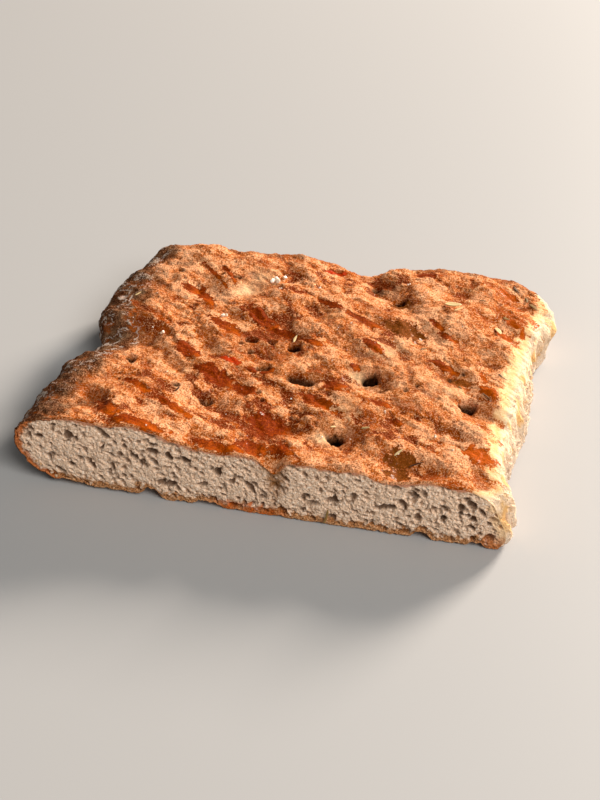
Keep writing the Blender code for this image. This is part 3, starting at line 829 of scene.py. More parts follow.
def weldEdges(base, t, level, topPath, topPlain, sidePath, sidePlain, nearTop, nearSide):
    # moves a wall's top edge and one end with the crust's own, which its relief has shifted
    topShift = resample(t, np.linspace(0.0, 1.0, len(topPath)), crustPoints[topPath] - topPlain)
    sideShift = resample(level, steps(crust["sideRows"]), crustPoints[sidePath] - sidePlain)
    return base + nearTop[..., None] * topShift[None] + nearSide[..., None] * sideShift[:, None]


def buildCutCrumb():
    t, level = steps(cutCrumb["columns"]), steps(cutCrumb["rows"])
    base = cutPoints(t, level)          # rows follow level
    x, z = base[..., 0], base[..., 2]
    fromTop, fromLow = base[:1, :, 2] - z, z - base[-1:, :, 2]
    fromLeft, fromRight = x - base[:, :1, 0], base[:, -1:, 0] - x
    nearTop = smoothStep(3.0 * mm, 0.0, fromTop)
    nearLeft = smoothStep(3.0 * mm, 0.0, fromLeft) * (1.0 - nearTop)
    leftPlain = wallPoints(leftSide, np.zeros(1), steps(crust["sideRows"]))[:, 0]
    points = weldEdges(base, t, level, topIndex[:, 0], cutPoints(steps(crust["columns"]), 0.0)[0],
                       skirtIndex[:, 0], leftPlain, nearTop, nearLeft)
    noise = partial(layeredNoise, xyz(x, 0.0, z))
    xs, zs, raster = poreRaster((x.min(), z.min()), (x.max(), z.max()), 7)
    warpX, warpZ = (cutCrumb["warpReach"] * noise(cutCrumb["warpSize"], seed, 3, 0.6) for seed in (5, 6))
    pores = readRaster(xs, zs, raster, x + warpX, z + warpZ)
    torn = noise(3.0 * mm, 77, 3, 0.65)
    wave = cutCrumb["waveHeight"] * (np.abs(noise(cutCrumb["waveSize"], 45, 4, 0.6)) - 0.15)
    rough = cutCrumb["roughHeight"] * (np.abs(noise(cutCrumb["roughSize"], 55, 2, 0.7)) - 0.25)
    fromEdge = np.minimum(np.minimum(fromTop, fromLow), np.minimum(fromLeft, fromRight))
    opened = smoothStep(0.2 * mm, 1.2 * mm, fromEdge)
    groove = cutCrumb["seamDepth"] * bell(x, cutCrumb["seamX"], 3.5 * mm) * smoothStep(0.0, 20.0 * mm, z)
    points[..., 1] += opened * (pores + wave + rough + groove)
    # browned rim, paler end, soaked places, and painted shade in the pores with a random mottle
    rimWave = np.maximum(1.0 + 0.85 * noise(3.2 * mm, 65, 4, 0.75), 0.15)
    thick = cutCrumb["leftRim"] * rimWave * (1.0 + 0.9 * smoothStep(12.0 * mm, 24.0 * mm, z))
    rim = np.maximum(smoothStep(1.2, 0.7, fromLow / (cutCrumb["lowRim"] * rimWave)),
                     smoothStep(1.2, 0.6, fromLeft / thick))
    gold = smoothStep(1.3, 0.3, fromRight / (cutCrumb["rightRim"] * rimWave * (1.2 - 0.5 * z / (30.0 * mm))))
    soaked = np.maximum(0.8 * smoothStep(1.3, 0.4, fromTop / (cutCrumb["topRim"] * rimWave)),
                        0.7 * smoothStep(1.3, 0.5, fromLeft / (3.0 * mm * rimWave)))
    wander = 1.2 * mm * noise(5.0 * mm, 73, 3)
    stain = bell(x + wander, cutCrumb["seamX"], 2.4 * mm + 0.20 * np.maximum(z - 10.0 * mm, 0.0))
    stain = np.clip(stain * (1.0 + 0.8 * noise(2.5 * mm, 69, 3, 0.7)), 0.0, 1.0)
    stain = stain * (0.40 + 0.60 * smoothStep(6.0 * mm, 18.0 * mm, z))
    wetFoot = smoothStep(5.0 * mm, 2.5 * mm, fromLow + 1.6 * mm * noise(6.0 * mm, 67, 3))
    wetFoot = wetFoot * bell(x, 82.0 * mm, 15.0 * mm, 6) * (0.7 + 0.9 * torn)
    corner = smoothStep(7.0 * mm, 3.5 * mm, np.hypot(fromRight - 2.0 * mm, fromLow - 1.0 * mm))
    # poreShadeAndMottle: painted shade that deepens with each bubble's depth, plus a random mottle
    masks = {"rim": rim, "gold": gold, "poreShadeAndMottle": opened * (pores / mm + 0.7 * torn), "stain": stain,
             "orange": np.maximum(np.maximum(wetFoot, 0.55 * corner), soaked)}
    quads = gridQuads(indexGrid(points))
    return makePiece("cutCrumb", points, quads, base[..., ::2], masks), points


cutPiece, cutGrid = buildCutCrumb()

# Torn side
tornSide = {
    "columns": 520,
    "rows": 110,
    "ridgeSize": 9.0 * mm,
    "ridgeHeight": 1.5 * mm,
    "sheetSize": 6.0 * mm,      # torn sheets that end in steep edges
    "sheetHeight": 1.4 * mm,
    "strandSize": 2.2 * mm,
    "strandHeight": 0.75 * mm,
    "pocketSize": 2.6 * mm,
    "pocketShare": 0.55,
    "pocketDepth": 0.7 * mm,
    "fibreSize": 0.9 * mm,
    "fibreHeight": 0.16 * mm,
    "stretch": 2.2,
    "smoothTop": 9.0 * mm,      # soft skin below the top edge, before the torn part
}


def buildTornSide():
    t, level = steps(tornSide["columns"]), steps(tornSide["rows"])
    base = wallPoints(rightSide, t, level)
    _, outward = rightSide(t)
    z = base[..., 2]
    fromTop, fromLow = z[:1] - z, z - z[-1:]
    fromCut = t * form["topDepth"] + 0.0 * z
    fromBack = form["topDepth"] - fromCut
    nearTop = smoothStep(2.5 * mm, 0.0, fromTop)
    nearBack = smoothStep(4.0 * mm, 0.0, fromBack) * (1.0 - nearTop)
    backPlain = wallPoints(backSide, np.ones(1), steps(crust["sideRows"]))[:, 0]
    points = weldEdges(base, t, level, topIndex[-1, :], wallPoints(rightSide, steps(crust["rows"]), 0.0)[0],
                       skirtIndex[:, -1], backPlain, nearTop, nearBack)
    drawn = base.copy()
    drawn[..., 2] /= tornSide["stretch"]   # everything torn is drawn out upwards
    noise = partial(layeredNoise, drawn)
    sheets = smoothStep(-0.05, 0.05, noise(tornSide["sheetSize"], 23, 4, 0.6)) - 0.5
    strands = 0.4 - np.abs(noise(tornSide["strandSize"], 27, 2, 0.6))
    near, _, own = cellNoise(drawn, tornSide["pocketSize"], 37)
    pockets = (own < tornSide["pocketShare"]) * np.sqrt(np.clip(1.0 - (near / 0.42) ** 2, 0.0, 1.0))
    fibre = layeredNoise(base, tornSide["fibreSize"], 47, 2, 0.7)
    skin = tornSide["smoothTop"] * (1.0 + 0.6 * noise(14.0 * mm, 53, 3))
    bare = 0.12 + 0.88 * smoothStep(0.55, 1.0, fromTop / skin)
    relief = tornSide["sheetHeight"] * sheets + tornSide["strandHeight"] * strands
    relief += tornSide["fibreHeight"] * fibre - tornSide["pocketDepth"] * pockets
    relief = bare * relief + tornSide["ridgeHeight"] * noise(tornSide["ridgeSize"], 17, 2)
    fromEdge = np.minimum(np.minimum(fromTop, fromLow), np.minimum(fromBack, fromCut))
    points[..., :2] += outward[None] * (relief * smoothStep(0.0, 1.2 * mm, fromEdge))[..., None]
    # yellow streaks growing towards the top: partly the side's own yellow, partly painted light that leaves
    # the lower part paler, as if lit from below
    streaks = smoothStep(0.0, 0.6, noise(6.0 * mm, 57, 3, 0.6))
    gold = (0.30 + 0.70 * streaks) * smoothStep(4.0 * mm, 22.0 * mm, z + 6.0 * mm * streaks)
    # poreShadeAndMottle here: painted shade in the pockets, and painted light on the raised sheets
    masks = {"rim": smoothStep(2.0 * mm, 0.6 * mm, fromLow + 0.8 * mm * fibre), "gold": gold,
             "poreShadeAndMottle": bare * (1.2 * pockets - 0.4 * sheets), "stain": 0.0 * z, "orange": 0.0 * z}
    quads = gridQuads(indexGrid(points))
    return makePiece("tornSide", points, quads, np.stack([fromCut, z], -1), masks), points


tornPiece, tornGrid = buildTornSide()

# Underside
underside = {
    "columns": 220,
    "rows": 180,
    "hollowSize": 13.0 * mm,
    "hollowHeight": 0.9 * mm,
    "grainSize": 2.2 * mm,
    "grainHeight": 0.18 * mm,
}


def buildUnderside():
    u, v = steps(underside["columns"]), steps(underside["rows"])
    low = crustPoints[skirtIndex[-1]]
    corner = crust["rows"]
    edges = [resample(at, np.linspace(0.0, 1.0, len(rows)), rows)
             for at, rows in ((u, cutGrid[-1]), (u, low[corner:]), (v, low[:corner + 1]), (v, tornGrid[-1]))]
    grid = blendGrid(*edges, u, v)
    uEdge = np.minimum(u, 1.0 - u)[:, None] * form["topLength"]
    vEdge = np.minimum(v, 1.0 - v)[None] * form["topDepth"]
    inner = np.minimum(uEdge, vEdge)
    flat = grid * (1.0, 1.0, 0.0)
    hollow = np.maximum(layeredNoise(flat, underside["hollowSize"], 19, 3) - 0.15, 0.0)
    grain = np.abs(layeredNoise(flat, underside["grainSize"], 29, 2))
    lifted = underside["hollowHeight"] * hollow + underside["grainHeight"] * grain
    grid[..., 2] *= smoothStep(10.0 * mm, 0.0, inner)
    grid[..., 2] += lifted * smoothStep(0.0, 3.0 * mm, inner)
    masks = {"hollow": smoothStep(0.0, 0.5, hollow), "edge": smoothStep(14.0 * mm, 0.0, inner)}
    return makePiece("underside", grid, gridQuads(indexGrid(grid))[:, ::-1], flat[..., :2], masks)


basePiece = buildUnderside()

# Small things on the crust
crustTree = BVHTree.FromPolygons(crustPoints.tolist(), topQuads.tolist())


def surfaceHeight(x, y):
    # height of the crust here, in the loaf's own measures
    hit = crustTree.ray_cast(Vector((x, y, 0.1)), Vector((0.0, 0.0, -1.0)))
    return hit[0].z if hit[0] else None


def makeSmallPiece(name, parts, smooth):
    # joins the parts, each of them points, faces and one tone
    points = np.concatenate([part[0] for part in parts])
    starts = np.cumsum([0] + [len(part[0]) for part in parts])
    faces = [[start + k for k in face] for start, part in zip(starts.tolist(), parts) for face in part[1]]
    tones = np.concatenate([np.full(len(part[0]), part[2]) for part in parts])
    mesh = bpy.data.meshes.new(name)
    mesh.from_pydata((points + place).tolist(), [], faces)
    mesh.update()
    return finishPiece(name, mesh, {"tone": tones}, smooth)


# Herbs
herbs = {
    "rings": 16,
    "sides": 10,
    "lift": 0.10 * mm,
    "thickness": 0.16,   # share of the width
    "leaves": (          # x, y, length, angle, width, fold, curl, tone (0 straw, 1 olive, 2 brown), in mm
        (81.3, 85.9, 5.2, 86, 1.1, 0.1, 0.1, 0.1), (147, 122.2, 8.4, -22, 3.2, 0.6, 0.24, 0),
        (150, 120.5, 4.5, 35, 1.3, 0.4, 0.15, 0.3), (171.7, 122.2, 4, -43, 1.5, 0.3, 0.2, 1),
        (169.5, 112, 7.6, -66, 1.9, 0.5, 0.26, 0.2), (183.2, 138.6, 7.6, -56, 1.6, 0.3, 0.14, 1.2),
        (173.7, 150, 6.4, -59, 1.1, 0.2, 0.16, 1.7), (179.5, 144.1, 5.4, -80, 1, 0.2, 0.18, 1.4),
        (124, 29.3, 3.6, 1, 1.2, 0, 0.02, 0.6), (110.9, 27.4, 2.5, 27, 1, 0, 0.02, 0.2),
        (147.5, 13.4, 6.5, 15, 0.7, 0.1, 0.2, 2), (139.7, 16.5, 4.4, 46, 1, 0.4, 0.14, 0.1),
        (174.8, 77.8, 5.6, -42, 0.6, 0.1, 0.12, 1.8), (169.8, 61.5, 7, -49, 0.6, 0.1, 0.14, 1.6),
        (157.9, 67.4, 2.9, -47, 0.8, 0.1, 0.05, 1.3), (42.2, 35.9, 3.6, -100, 0.8, 0.1, 0.05, 1.9),
        (-0, 108.7, 3.6, 51, 0.8, 0.2, 0.1, 0.2), (160, 133.4, 4, -20, 0.8, 0.2, 0.08, 1.5),
        (138.8, 89.6, 3.2, 20, 0.8, 0.1, 0.06, 1.4), (182.4, 16.4, 2.2, 70, 1, 0, 0, 2),
    ),
    "hanging": (114.9, 9.0, 113.1, 0.8, 0.9, 0.9),   # on the cut: x, z, x, z, width, tone
}


def leafShape(spine, width, fold):
    # a flattened, pointed tube round the spine, folded up along both edges
    rings, sides = len(spine), herbs["sides"]
    along = unit(np.gradient(spine, axis=0))
    upright = abs(along[:, 2]).mean() > 0.8
    across = unit(np.cross(along, (0.0, -1.0, 0.0) if upright else (0.0, 0.0, 1.0)))
    above = np.cross(across, along)
    s = np.linspace(-1.0, 1.0, rings)
    taper = np.sqrt(np.maximum(1.0 - s ** 2, 0.0)) * (1.0 - 0.25 * s) + 0.06
    theta = np.linspace(0.0, 2.0 * math.pi, sides, endpoint=False)
    wide = 0.5 * width * taper[:, None] * np.cos(theta)[None]
    thick = herbs["thickness"] * width * taper[:, None] * np.sin(theta)[None] + fold * np.abs(wide)
    points = spine[:, None] + across[:, None] * wide[..., None] + above[:, None] * thick[..., None]
    ring = [[i * sides + k % sides for k in range(sides + 1)] for i in range(rings)]
    faces = [[ring[i][k], ring[i][k + 1], ring[i + 1][k + 1], ring[i + 1][k]]
             for i in range(rings - 1) for k in range(sides)]
    return points.reshape(-1, 3), faces + [ring[0][sides - 1::-1], ring[-1][:sides]]


def buildHerbs():
    parts = []
    rng = np.random.RandomState(31)
    s = np.linspace(-1.0, 1.0, herbs["rings"])
    for cx, cy, length, angle, width, fold, curl, tone in herbs["leaves"]:
        turn = math.radians(angle)
        half = 0.5 * length * mm
        bend = rng.uniform(-0.2, 0.2) * half * s ** 2
        x = cx * mm + math.cos(turn) * s * half - math.sin(turn) * bend
        y = cy * mm + math.sin(turn) * s * half + math.cos(turn) * bend
        ground = [surfaceHeight(px, py) for px, py in zip(x, y)]
        known = [height for height in ground if height is not None]
        if not known:
            continue
        ground = np.array([height if height is not None else min(known) for height in ground])
        line = np.polyval(np.polyfit(s, ground, 1), s)
        rest = line + max(0.25 * (ground - line).max(), 0.0)
        lift = herbs["lift"] + herbs["thickness"] * width * mm
        z = rest + lift + curl * length * mm * (0.5 + 0.5 * s) ** 2
        parts.append((*leafShape(xyz(x, y, z), width * mm, fold), tone))
    x0, z0, x1, z1, width, tone = herbs["hanging"]
    t = 0.5 + 0.5 * s
    spine = xyz(x0 + (x1 - x0) * t + 0.3 * np.sin(3.0 * t), -0.7, z0 + (z1 - z0) * t) * mm
    parts.append((*leafShape(spine, width * mm, 0.2), tone))
    return makeSmallPiece("herbLeaves", parts, True)


herbPiece = buildHerbs()

# Salt
salt = {
    "facets": 8,
    "sites": (           # x, y, grain radius, all in mm, and how many grains
        (61.1, 132.9, 1.65, 5), (66.5, 120.6, 0.7, 2), (83.3, 127.4, 0.55, 2), (21.1, 80.4, 1, 2),
        (45, 96.6, 1.25, 2), (-5.5, 119, 0.7, 1), (124.2, 140.2, 0.6, 2), (104.4, 100.1, 0.55, 2),
        (107.6, 21.2, 0.5, 1), (139.1, 16.5, 0.55, 2), (135.9, 98, 0.55, 2), (151.8, 30.9, 0.65, 2),
        (15.2, 84.2, 0.6, 1), (79.6, 30.6, 0.45, 2), (89.4, 43.7, 0.45, 1), (39.1, 4, 0.5, 1),
        (160.2, 22.8, 0.55, 2), (129.3, 91, 0.45, 1), (130, 40.6, 0.55, 2), (118.6, 24.4, 0.45, 1),
    ),
    "specks": 110,       # fine grains strewn over the crust
    "speckSize": (0.14, 0.32),
    "sunk": 0.35,        # share of the radius that a grain's middle stands above the crust
}


def unitRock(rng, facets):
    # a rounded ball with flats cut on it
    ball = bmesh.new()
    bmesh.ops.create_icosphere(ball, subdivisions=2, radius=1.0)
    points = np.array([vertex.co[:] for vertex in ball.verts])
    faces = [[vertex.index for vertex in face.verts] for face in ball.faces]
    ball.free()
    for _ in range(facets):
        normal = rng.normal(size=3)
        normal /= np.linalg.norm(normal)
        over = np.maximum(points @ normal - rng.uniform(0.5, 0.78), 0.0)
        points = points - over[:, None] * normal
    return points * rng.uniform(0.75, 1.15, size=3), faces


def buildSalt():
    rng = np.random.RandomState(53)
    parts = []
    sites = inMetres(3, salt["sites"])
    for _ in range(salt["specks"]):
        radius = rng.uniform(*salt["speckSize"]) * mm
        sites.append((rng.uniform(0.004, 0.178), rng.uniform(0.004, 0.148), radius, 1))
    for cx, cy, radius, count in sites:
        for _ in range(count):
            spread = radius * 1.1 * min(count - 1, 2)
            x, y = cx + rng.uniform(-spread, spread), cy + rng.uniform(-spread, spread)
            ground = surfaceHeight(x, y)
            if ground is None:
                continue
            points, faces = unitRock(rng, salt["facets"])
            size = radius * rng.uniform(0.75, 1.0)
            middle = np.array([x, y, ground + salt["sunk"] * size])
            parts.append((points * size + middle, faces, rng.uniform(0.0, 1.0)))
    return makeSmallPiece("saltGrains", parts, False)


saltPiece = buildSalt()

# Pale scraps of dough along the low left edge of the cut
scraps = {
    "facets": 5,
    "each": 3,           # lumps at each site
    "roughSize": 0.7 * mm,
    "roughHeight": 0.12 * mm,
    "sites": (           # x, y, z, radius, all in mm
        (-9.6, 1.0, 10.9, 1.5), (-8.0, 0.8, 9.9, 1.3), (-6.3, 1.2, 8.4, 1.0), (-3.4, 0.8, 5.3, 0.9),
        (-1.4, 0.9, 4.6, 1.1), (-13.6, 1.4, 18.0, 1.1), (-12.2, 1.5, 14.4, 0.8),
    ),
}


def buildScraps():
    rng = np.random.RandomState(71)
    parts = []
    for cx, cy, cz, radius in scraps["sites"]:
        for _ in range(scraps["each"]):
            points, faces = unitRock(rng, scraps["facets"])
            size = radius * rng.uniform(0.45, 0.8)
            shift = rng.normal(0.0, 0.35 * radius, size=3)
            points = (points * size + (cx, cy, cz) + shift) * mm
            points += scraps["roughHeight"] * layeredNoise(points, scraps["roughSize"], 75, 2)[:, None]
            parts.append((points, faces, rng.uniform(0.0, 1.0)))
    return makeSmallPiece("doughScraps", parts, True)


scrapPiece = buildScraps()


def srgb(*shown):
    # a colour as a screen shows it, 0 to 255, to scene linear
    values = [value / 255.0 for value in shown]
    return (*(v / 12.92 if v <= 0.04045 else ((v + 0.055) / 1.055) ** 2.4 for v in values), 1.0)


def feed(tree, node, values):
    # each value is a number, a colour or another node's output
    for key, value in values.items():
        if isinstance(value, bpy.types.NodeSocket):
            tree.links.new(value, node.inputs[key])
        else:
            node.inputs[key].default_value = value


def addNode(tree, kind, values, **settings):
    node = tree.nodes.new(kind)
    for key, value in settings.items():
        setattr(node, key, value)
    feed(tree, node, values)
    return node


def addMix(tree, factor, first, second):
    return addNode(tree, "ShaderNodeMix", {0: factor, 6: first, 7: second}, data_type="RGBA").outputs[2]


def addMath(tree, operation, *values):
    return addNode(tree, "ShaderNodeMath", dict(enumerate(values)), operation=operation).outputs[0]


def addRange(tree, value, low, high, toLow=0.0, toHigh=1.0):
    inputs = {0: value, 1: low, 2: high, 3: toLow, 4: toHigh}
    return addNode(tree, "ShaderNodeMapRange", inputs, interpolation_type="SMOOTHSTEP").outputs[0]


def addAttribute(tree, name):
    return addNode(tree, "ShaderNodeAttribute", {}, attribute_name=name).outputs["Fac"]


def addPaint(tree, colour, layers):
    # lays each colour over the one below, as strongly as its mask times its amount
    for mask, amount, over in layers:
        factor = mask if amount == 1.0 else addMath(tree, "MULTIPLY", mask, amount)
        colour = addMix(tree, factor, colour, over)
    return colour


def nodeTools(tree):
    return [partial(maker, tree) for maker in (addMath, addRange, addAttribute, addMix, addPaint)]


def addNoise(tree, scale, detail, roughness, distortion=0.0, vector=None):
    if vector is None:
        vector = tree.nodes.new("ShaderNodeTexCoord").outputs["Object"]
    inputs = {"Vector": vector, "Scale": scale, "Detail": detail, "Roughness": roughness,
              "Distortion": distortion}
    return addNode(tree, "ShaderNodeTexNoise", inputs).outputs["Fac"]


def newGroup(name, inputs, outputs):
    group = bpy.data.node_groups.new(name, "ShaderNodeTree")
    for label, value in inputs.items():
        socket = group.interface.new_socket(name=label, in_out="INPUT", socket_type="NodeSocketFloat")
        socket.default_value = value
    for label in outputs:
        group.interface.new_socket(name=label, in_out="OUTPUT", socket_type="NodeSocketFloat")
    return group, group.nodes.new("NodeGroupInput").outputs, group.nodes.new("NodeGroupOutput")


def makeBakedGrain():
    # grainy, floury look of baked dough: a light and a dark speckle and the height that goes with them
    group, given, end = newGroup("bakedGrain", {"Grain Size": 1.0, "Contrast": 1.0},
                                 ("Light", "Dark", "Height"))
    maths, ramp, *_ = nodeTools(group)
    scale = maths("DIVIDE", 620.0, given["Grain Size"])
    coarse = addNoise(group, scale, 3.0, 0.62)
    fine = addNoise(group, maths("MULTIPLY", scale, 2.3), 2.0, 0.6)
    mixed = maths("ADD", maths("MULTIPLY", coarse, 0.62), maths("MULTIPLY", fine, 0.38))
    swing = maths("MULTIPLY_ADD", maths("SUBTRACT", mixed, 0.5), given["Contrast"], 0.5)
    feed(group, end, {"Light": ramp(swing, 0.50, 0.66), "Dark": ramp(swing, 0.49, 0.34), "Height": mixed})
    return group


def makeBlotches():
    # broad uneven browning
    group, given, end = newGroup("blotches", {"Size": 10.0, "Softness": 0.2}, ("Mask",))
    maths, ramp, *_ = nodeTools(group)
    value = addNoise(group, maths("DIVIDE", 500.0, given["Size"]), 3.0, 0.55, 0.4)
    low, high = (maths(operation, 0.5, given["Softness"]) for operation in ("SUBTRACT", "ADD"))
    feed(group, end, {"Mask": ramp(value, low, high)})
    return group


def makeCrumbPores():
    # fine bubbles and strands of open crumb
    group, given, end = newGroup("crumbPores", {"Pore Size": 1.0, "Stretch": 1.0},
                                 ("Pores", "Strands", "Height"))
    maths, ramp, *_ = nodeTools(group)
    coords = group.nodes.new("ShaderNodeTexCoord").outputs["Object"]
    stretch = addNode(group, "ShaderNodeCombineXYZ", {0: 1.0, 1: 1.0, 2: given["Stretch"]}).outputs[0]
    drawn = addNode(group, "ShaderNodeVectorMath", {0: coords, 1: stretch}, operation="MULTIPLY").outputs[0]
    scale = maths("DIVIDE", 1000.0, given["Pore Size"])
    cells = group.nodes.new("ShaderNodeTexVoronoi")
    cells.feature = "SMOOTH_F1"
    feed(group, cells, {"Smoothness": 0.35, "Vector": drawn, "Scale": scale})
    pores = ramp(cells.outputs["Distance"], 0.42, 0.16)
    strands = addNoise(group, maths("MULTIPLY", scale, 0.9), 3.0, 0.6, 0.0, drawn)
    height = maths("SUBTRACT", strands, maths("MULTIPLY", pores, 0.6))
    feed(group, end, {"Pores": pores, "Strands": strands, "Height": height})
    return group


bakedGrain = makeBakedGrain()
blotches = makeBlotches()
crumbPores = makeCrumbPores()


def newMaterial(name):
    material = bpy.data.materials.new(name)
    material.use_nodes = True
    return material, material.node_tree, material.node_tree.nodes["Principled BSDF"]


def addGroup(tree, group, **values):
    return addNode(tree, "ShaderNodeGroup", values, node_tree=group).outputs


def finishShader(tree, shader, colour, roughness, height, distance):
    bump = addNode(tree, "ShaderNodeBump", {"Distance": distance, "Height": height}).outputs[0]
    feed(tree, shader, {"Base Color": colour, "Roughness": roughness, "Normal": bump})


crustFinish = {
    "tan": srgb(240, 160, 108),
    "mid": srgb(208, 112, 42),
    "russet": srgb(160, 68, 8),
    "light": srgb(255, 206, 158),
    "speck": srgb(98, 38, 6),
    "scorched": srgb(60, 30, 14),
    "scorchedLight": srgb(146, 92, 56),
    "grey": srgb(178, 134, 84),
    "greyDark": srgb(92, 54, 26),
    "pale": srgb(242, 202, 152),
    "paleDeep": srgb(226, 162, 92),
    "tornLight": srgb(230, 204, 166),
    "floury": srgb(242, 204, 156),
    # hole: colour of the painted shade inside the finger holes, the slit and the small pits
    "hole": srgb(30, 12, 5),
    "flour": srgb(200, 182, 166),
    "wash": srgb(188, 88, 6),
    "amber": srgb(118, 40, 0),
    # paintedGlow: colour of the painted light shining through the oil
    "paintedGlow": srgb(214, 98, 0),
    "deepRed": srgb(118, 38, 0),
    "red": srgb(172, 40, 0),
    "olive": srgb(118, 70, 18),
    "roughness": 0.72,
    "oilRoughness": 0.42,
    "oilCoat": 0.06,
    "coatRoughness": 0.06,
    "specular": 0.02,
    "bump": 1.3 * mm,
}


def makeCrustMaterial():
    look = crustFinish
    material, tree, shader = newMaterial("bakedCrust")
    maths, ramp, mask, mix, paint = nodeTools(tree)
    grain = addGroup(tree, bakedGrain, **{"Grain Size": 0.46, "Contrast": 1.8})
    patchy = addGroup(tree, blotches, **{"Size": 2.4, "Softness": 0.12})["Mask"]
    specks, sparks = grain["Dark"], grain["Light"]
    pale = mask("pale")
    # dry crust
    varied = maths("MULTIPLY_ADD", maths("SUBTRACT", patchy, 0.5), 0.25, mask("tone"))
    colour = mix(ramp(varied, 0.05, 0.50), look["russet"], look["mid"])
    colour = mix(ramp(varied, 0.38, 0.85), colour, look["tan"])
    shine = maths("MULTIPLY", sparks, maths("MULTIPLY_ADD", varied, 0.45, 0.32))
    greyish = paint(look["grey"], ((specks, 0.8, look["greyDark"]),))
    burnt = ramp(maths("MULTIPLY_ADD", specks, 0.25, mask("dark")), 0.20, 0.95, 0.0, 0.94)
    cream = paint(look["pale"], ((specks, 0.7, look["paleDeep"]), (patchy, 0.5, look["paleDeep"])))
    dusty = ramp(maths("MULTIPLY_ADD", sparks, 0.5, mask("flour")), 0.40, 0.95, 0.0, 0.8)
    colour = paint(colour, (
        (mask("crack"), 0.55, look["speck"]),
        (specks, 0.80, look["speck"]),
        (shine, 1.0, look["light"]),
        (mask("grey"), 0.30, greyish),
        (burnt, 1.0, mix(sparks, look["scorched"], look["scorchedLight"])),
        (mask("light"), 0.8, look["floury"]),
        (pale, 1.0, cream),
        (mask("torn"), 1.0, look["tornLight"]),
        (dusty, 1.0, look["flour"]),
    ))
    # oil: a thin wash, and a film over it where it is thick
    thick = maths("MULTIPLY_ADD", specks, 0.10, maths("MULTIPLY_ADD", sparks, -0.40, mask("oil")))
    wet = ramp(thick, 0.26, 0.62)
    # the oil film, with painted light shining through it where paintedGlow is high
    film = paint(mix(ramp(mask("deep"), 0.45, 0.85), look["amber"], look["deepRed"]), (
        (mask("paintedGlow"), 0.60, look["paintedGlow"]),
        (mask("red"), 1.0, look["red"]),
        (mask("olive"), 0.8, look["olive"]),
        (specks, 0.50, look["deepRed"]),
        (sparks, 0.32, look["paintedGlow"]),
    ))
    wash = ramp(thick, 0.06, 0.42, 0.0, 0.85)
    # the hole mask paints shade into the finger holes, the slit and the small pits
    colour = paint(colour, ((wash, 1.0, look["wash"]), (wet, 1.0, film), (mask("hole"), 1.0, look["hole"])))
    rough = maths("MULTIPLY_ADD", wet, look["oilRoughness"] - look["roughness"], look["roughness"])
    rough = maths("MULTIPLY_ADD", grain["Height"], 0.15, rough)
    smoother = maths("MULTIPLY_ADD", wet, -0.50, 1.0)
    smoother = maths("MULTIPLY", smoother, maths("MULTIPLY_ADD", pale, -0.6, 1.0))
    finishShader(tree, shader, colour, rough, maths("MULTIPLY", grain["Height"], smoother), look["bump"])
    feed(tree, shader, {"Coat Weight": maths("MULTIPLY", wet, look["oilCoat"]),
                        "Coat Roughness": look["coatRoughness"], "Specular IOR Level": look["specular"]})
    return material


crumbFinish = {
    "lightGrain": srgb(255, 246, 232),
    "darkGrain": srgb(170, 130, 100),
    "rim": srgb(178, 112, 54),
    "rimDark": srgb(60, 28, 10),
    "rimGold": srgb(244, 202, 152),
    "stain": srgb(140, 84, 20),
    "orange": srgb(196, 92, 24),
    "roughness": 0.85,
    "specular": 0.2,
    "bump": 0.5 * mm,
    # deep: colour of the painted shade in the pores and pockets
    "cut": {"main": srgb(246, 208, 174), "deep": srgb(100, 68, 44), "gold": srgb(244, 202, 152),
            "stretch": 1.0, "contrast": 0.72},
    "torn": {"main": srgb(232, 206, 178), "deep": srgb(170, 108, 60), "gold": srgb(228, 172, 98),
             "stretch": 0.5, "contrast": 0.45},
}


def makeCrumbMaterial(name, own):
    look = crumbFinish
    material, tree, shader = newMaterial(name)
    maths, ramp, mask, mix, paint = nodeTools(tree)
    pores = addGroup(tree, crumbPores, **{"Pore Size": 0.8, "Stretch": own["stretch"]})
    grain = addGroup(tree, bakedGrain, **{"Grain Size": 0.5, "Contrast": 1.2})
    specks, sparks = grain["Dark"], grain["Light"]
    stain = mask("stain")
    baked = paint(mix(specks, look["rim"], look["rimDark"]), ((sparks, 0.6, look["rimGold"]),))
    colour = paint(own["main"], (
        (sparks, own["contrast"], look["lightGrain"]),
        (specks, 0.7 * own["contrast"], look["darkGrain"]),
        # painted shade in the fine pores and in the deeper bubbles
        (pores["Pores"], 0.2, own["deep"]),
        (ramp(mask("poreShadeAndMottle"), 0.12, 2.0, 0.0, 0.84), 1.0, own["deep"]),
        (mask("gold"), 0.85, own["gold"]),
        (mask("rim"), 0.92, baked),
        (mask("orange"), 0.85, mix(specks, look["orange"], look["stain"])),
        (stain, 0.85, look["stain"]),
    ))
    rough = maths("MULTIPLY_ADD", pores["Strands"], 0.1, look["roughness"] - 0.05)
    rough = maths("MULTIPLY_ADD", stain, -0.35, rough)
    height = maths("ADD", pores["Height"], grain["Height"])
    finishShader(tree, shader, colour, rough, height, look["bump"])
    shader.inputs["Specular IOR Level"].default_value = look["specular"]
    return material


baseFinish = {
    "brown": srgb(176, 112, 62),
    "dark": srgb(96, 58, 34),
    "light": srgb(222, 172, 116),
    "roughness": 0.6,
    "bump": 0.8 * mm,
}


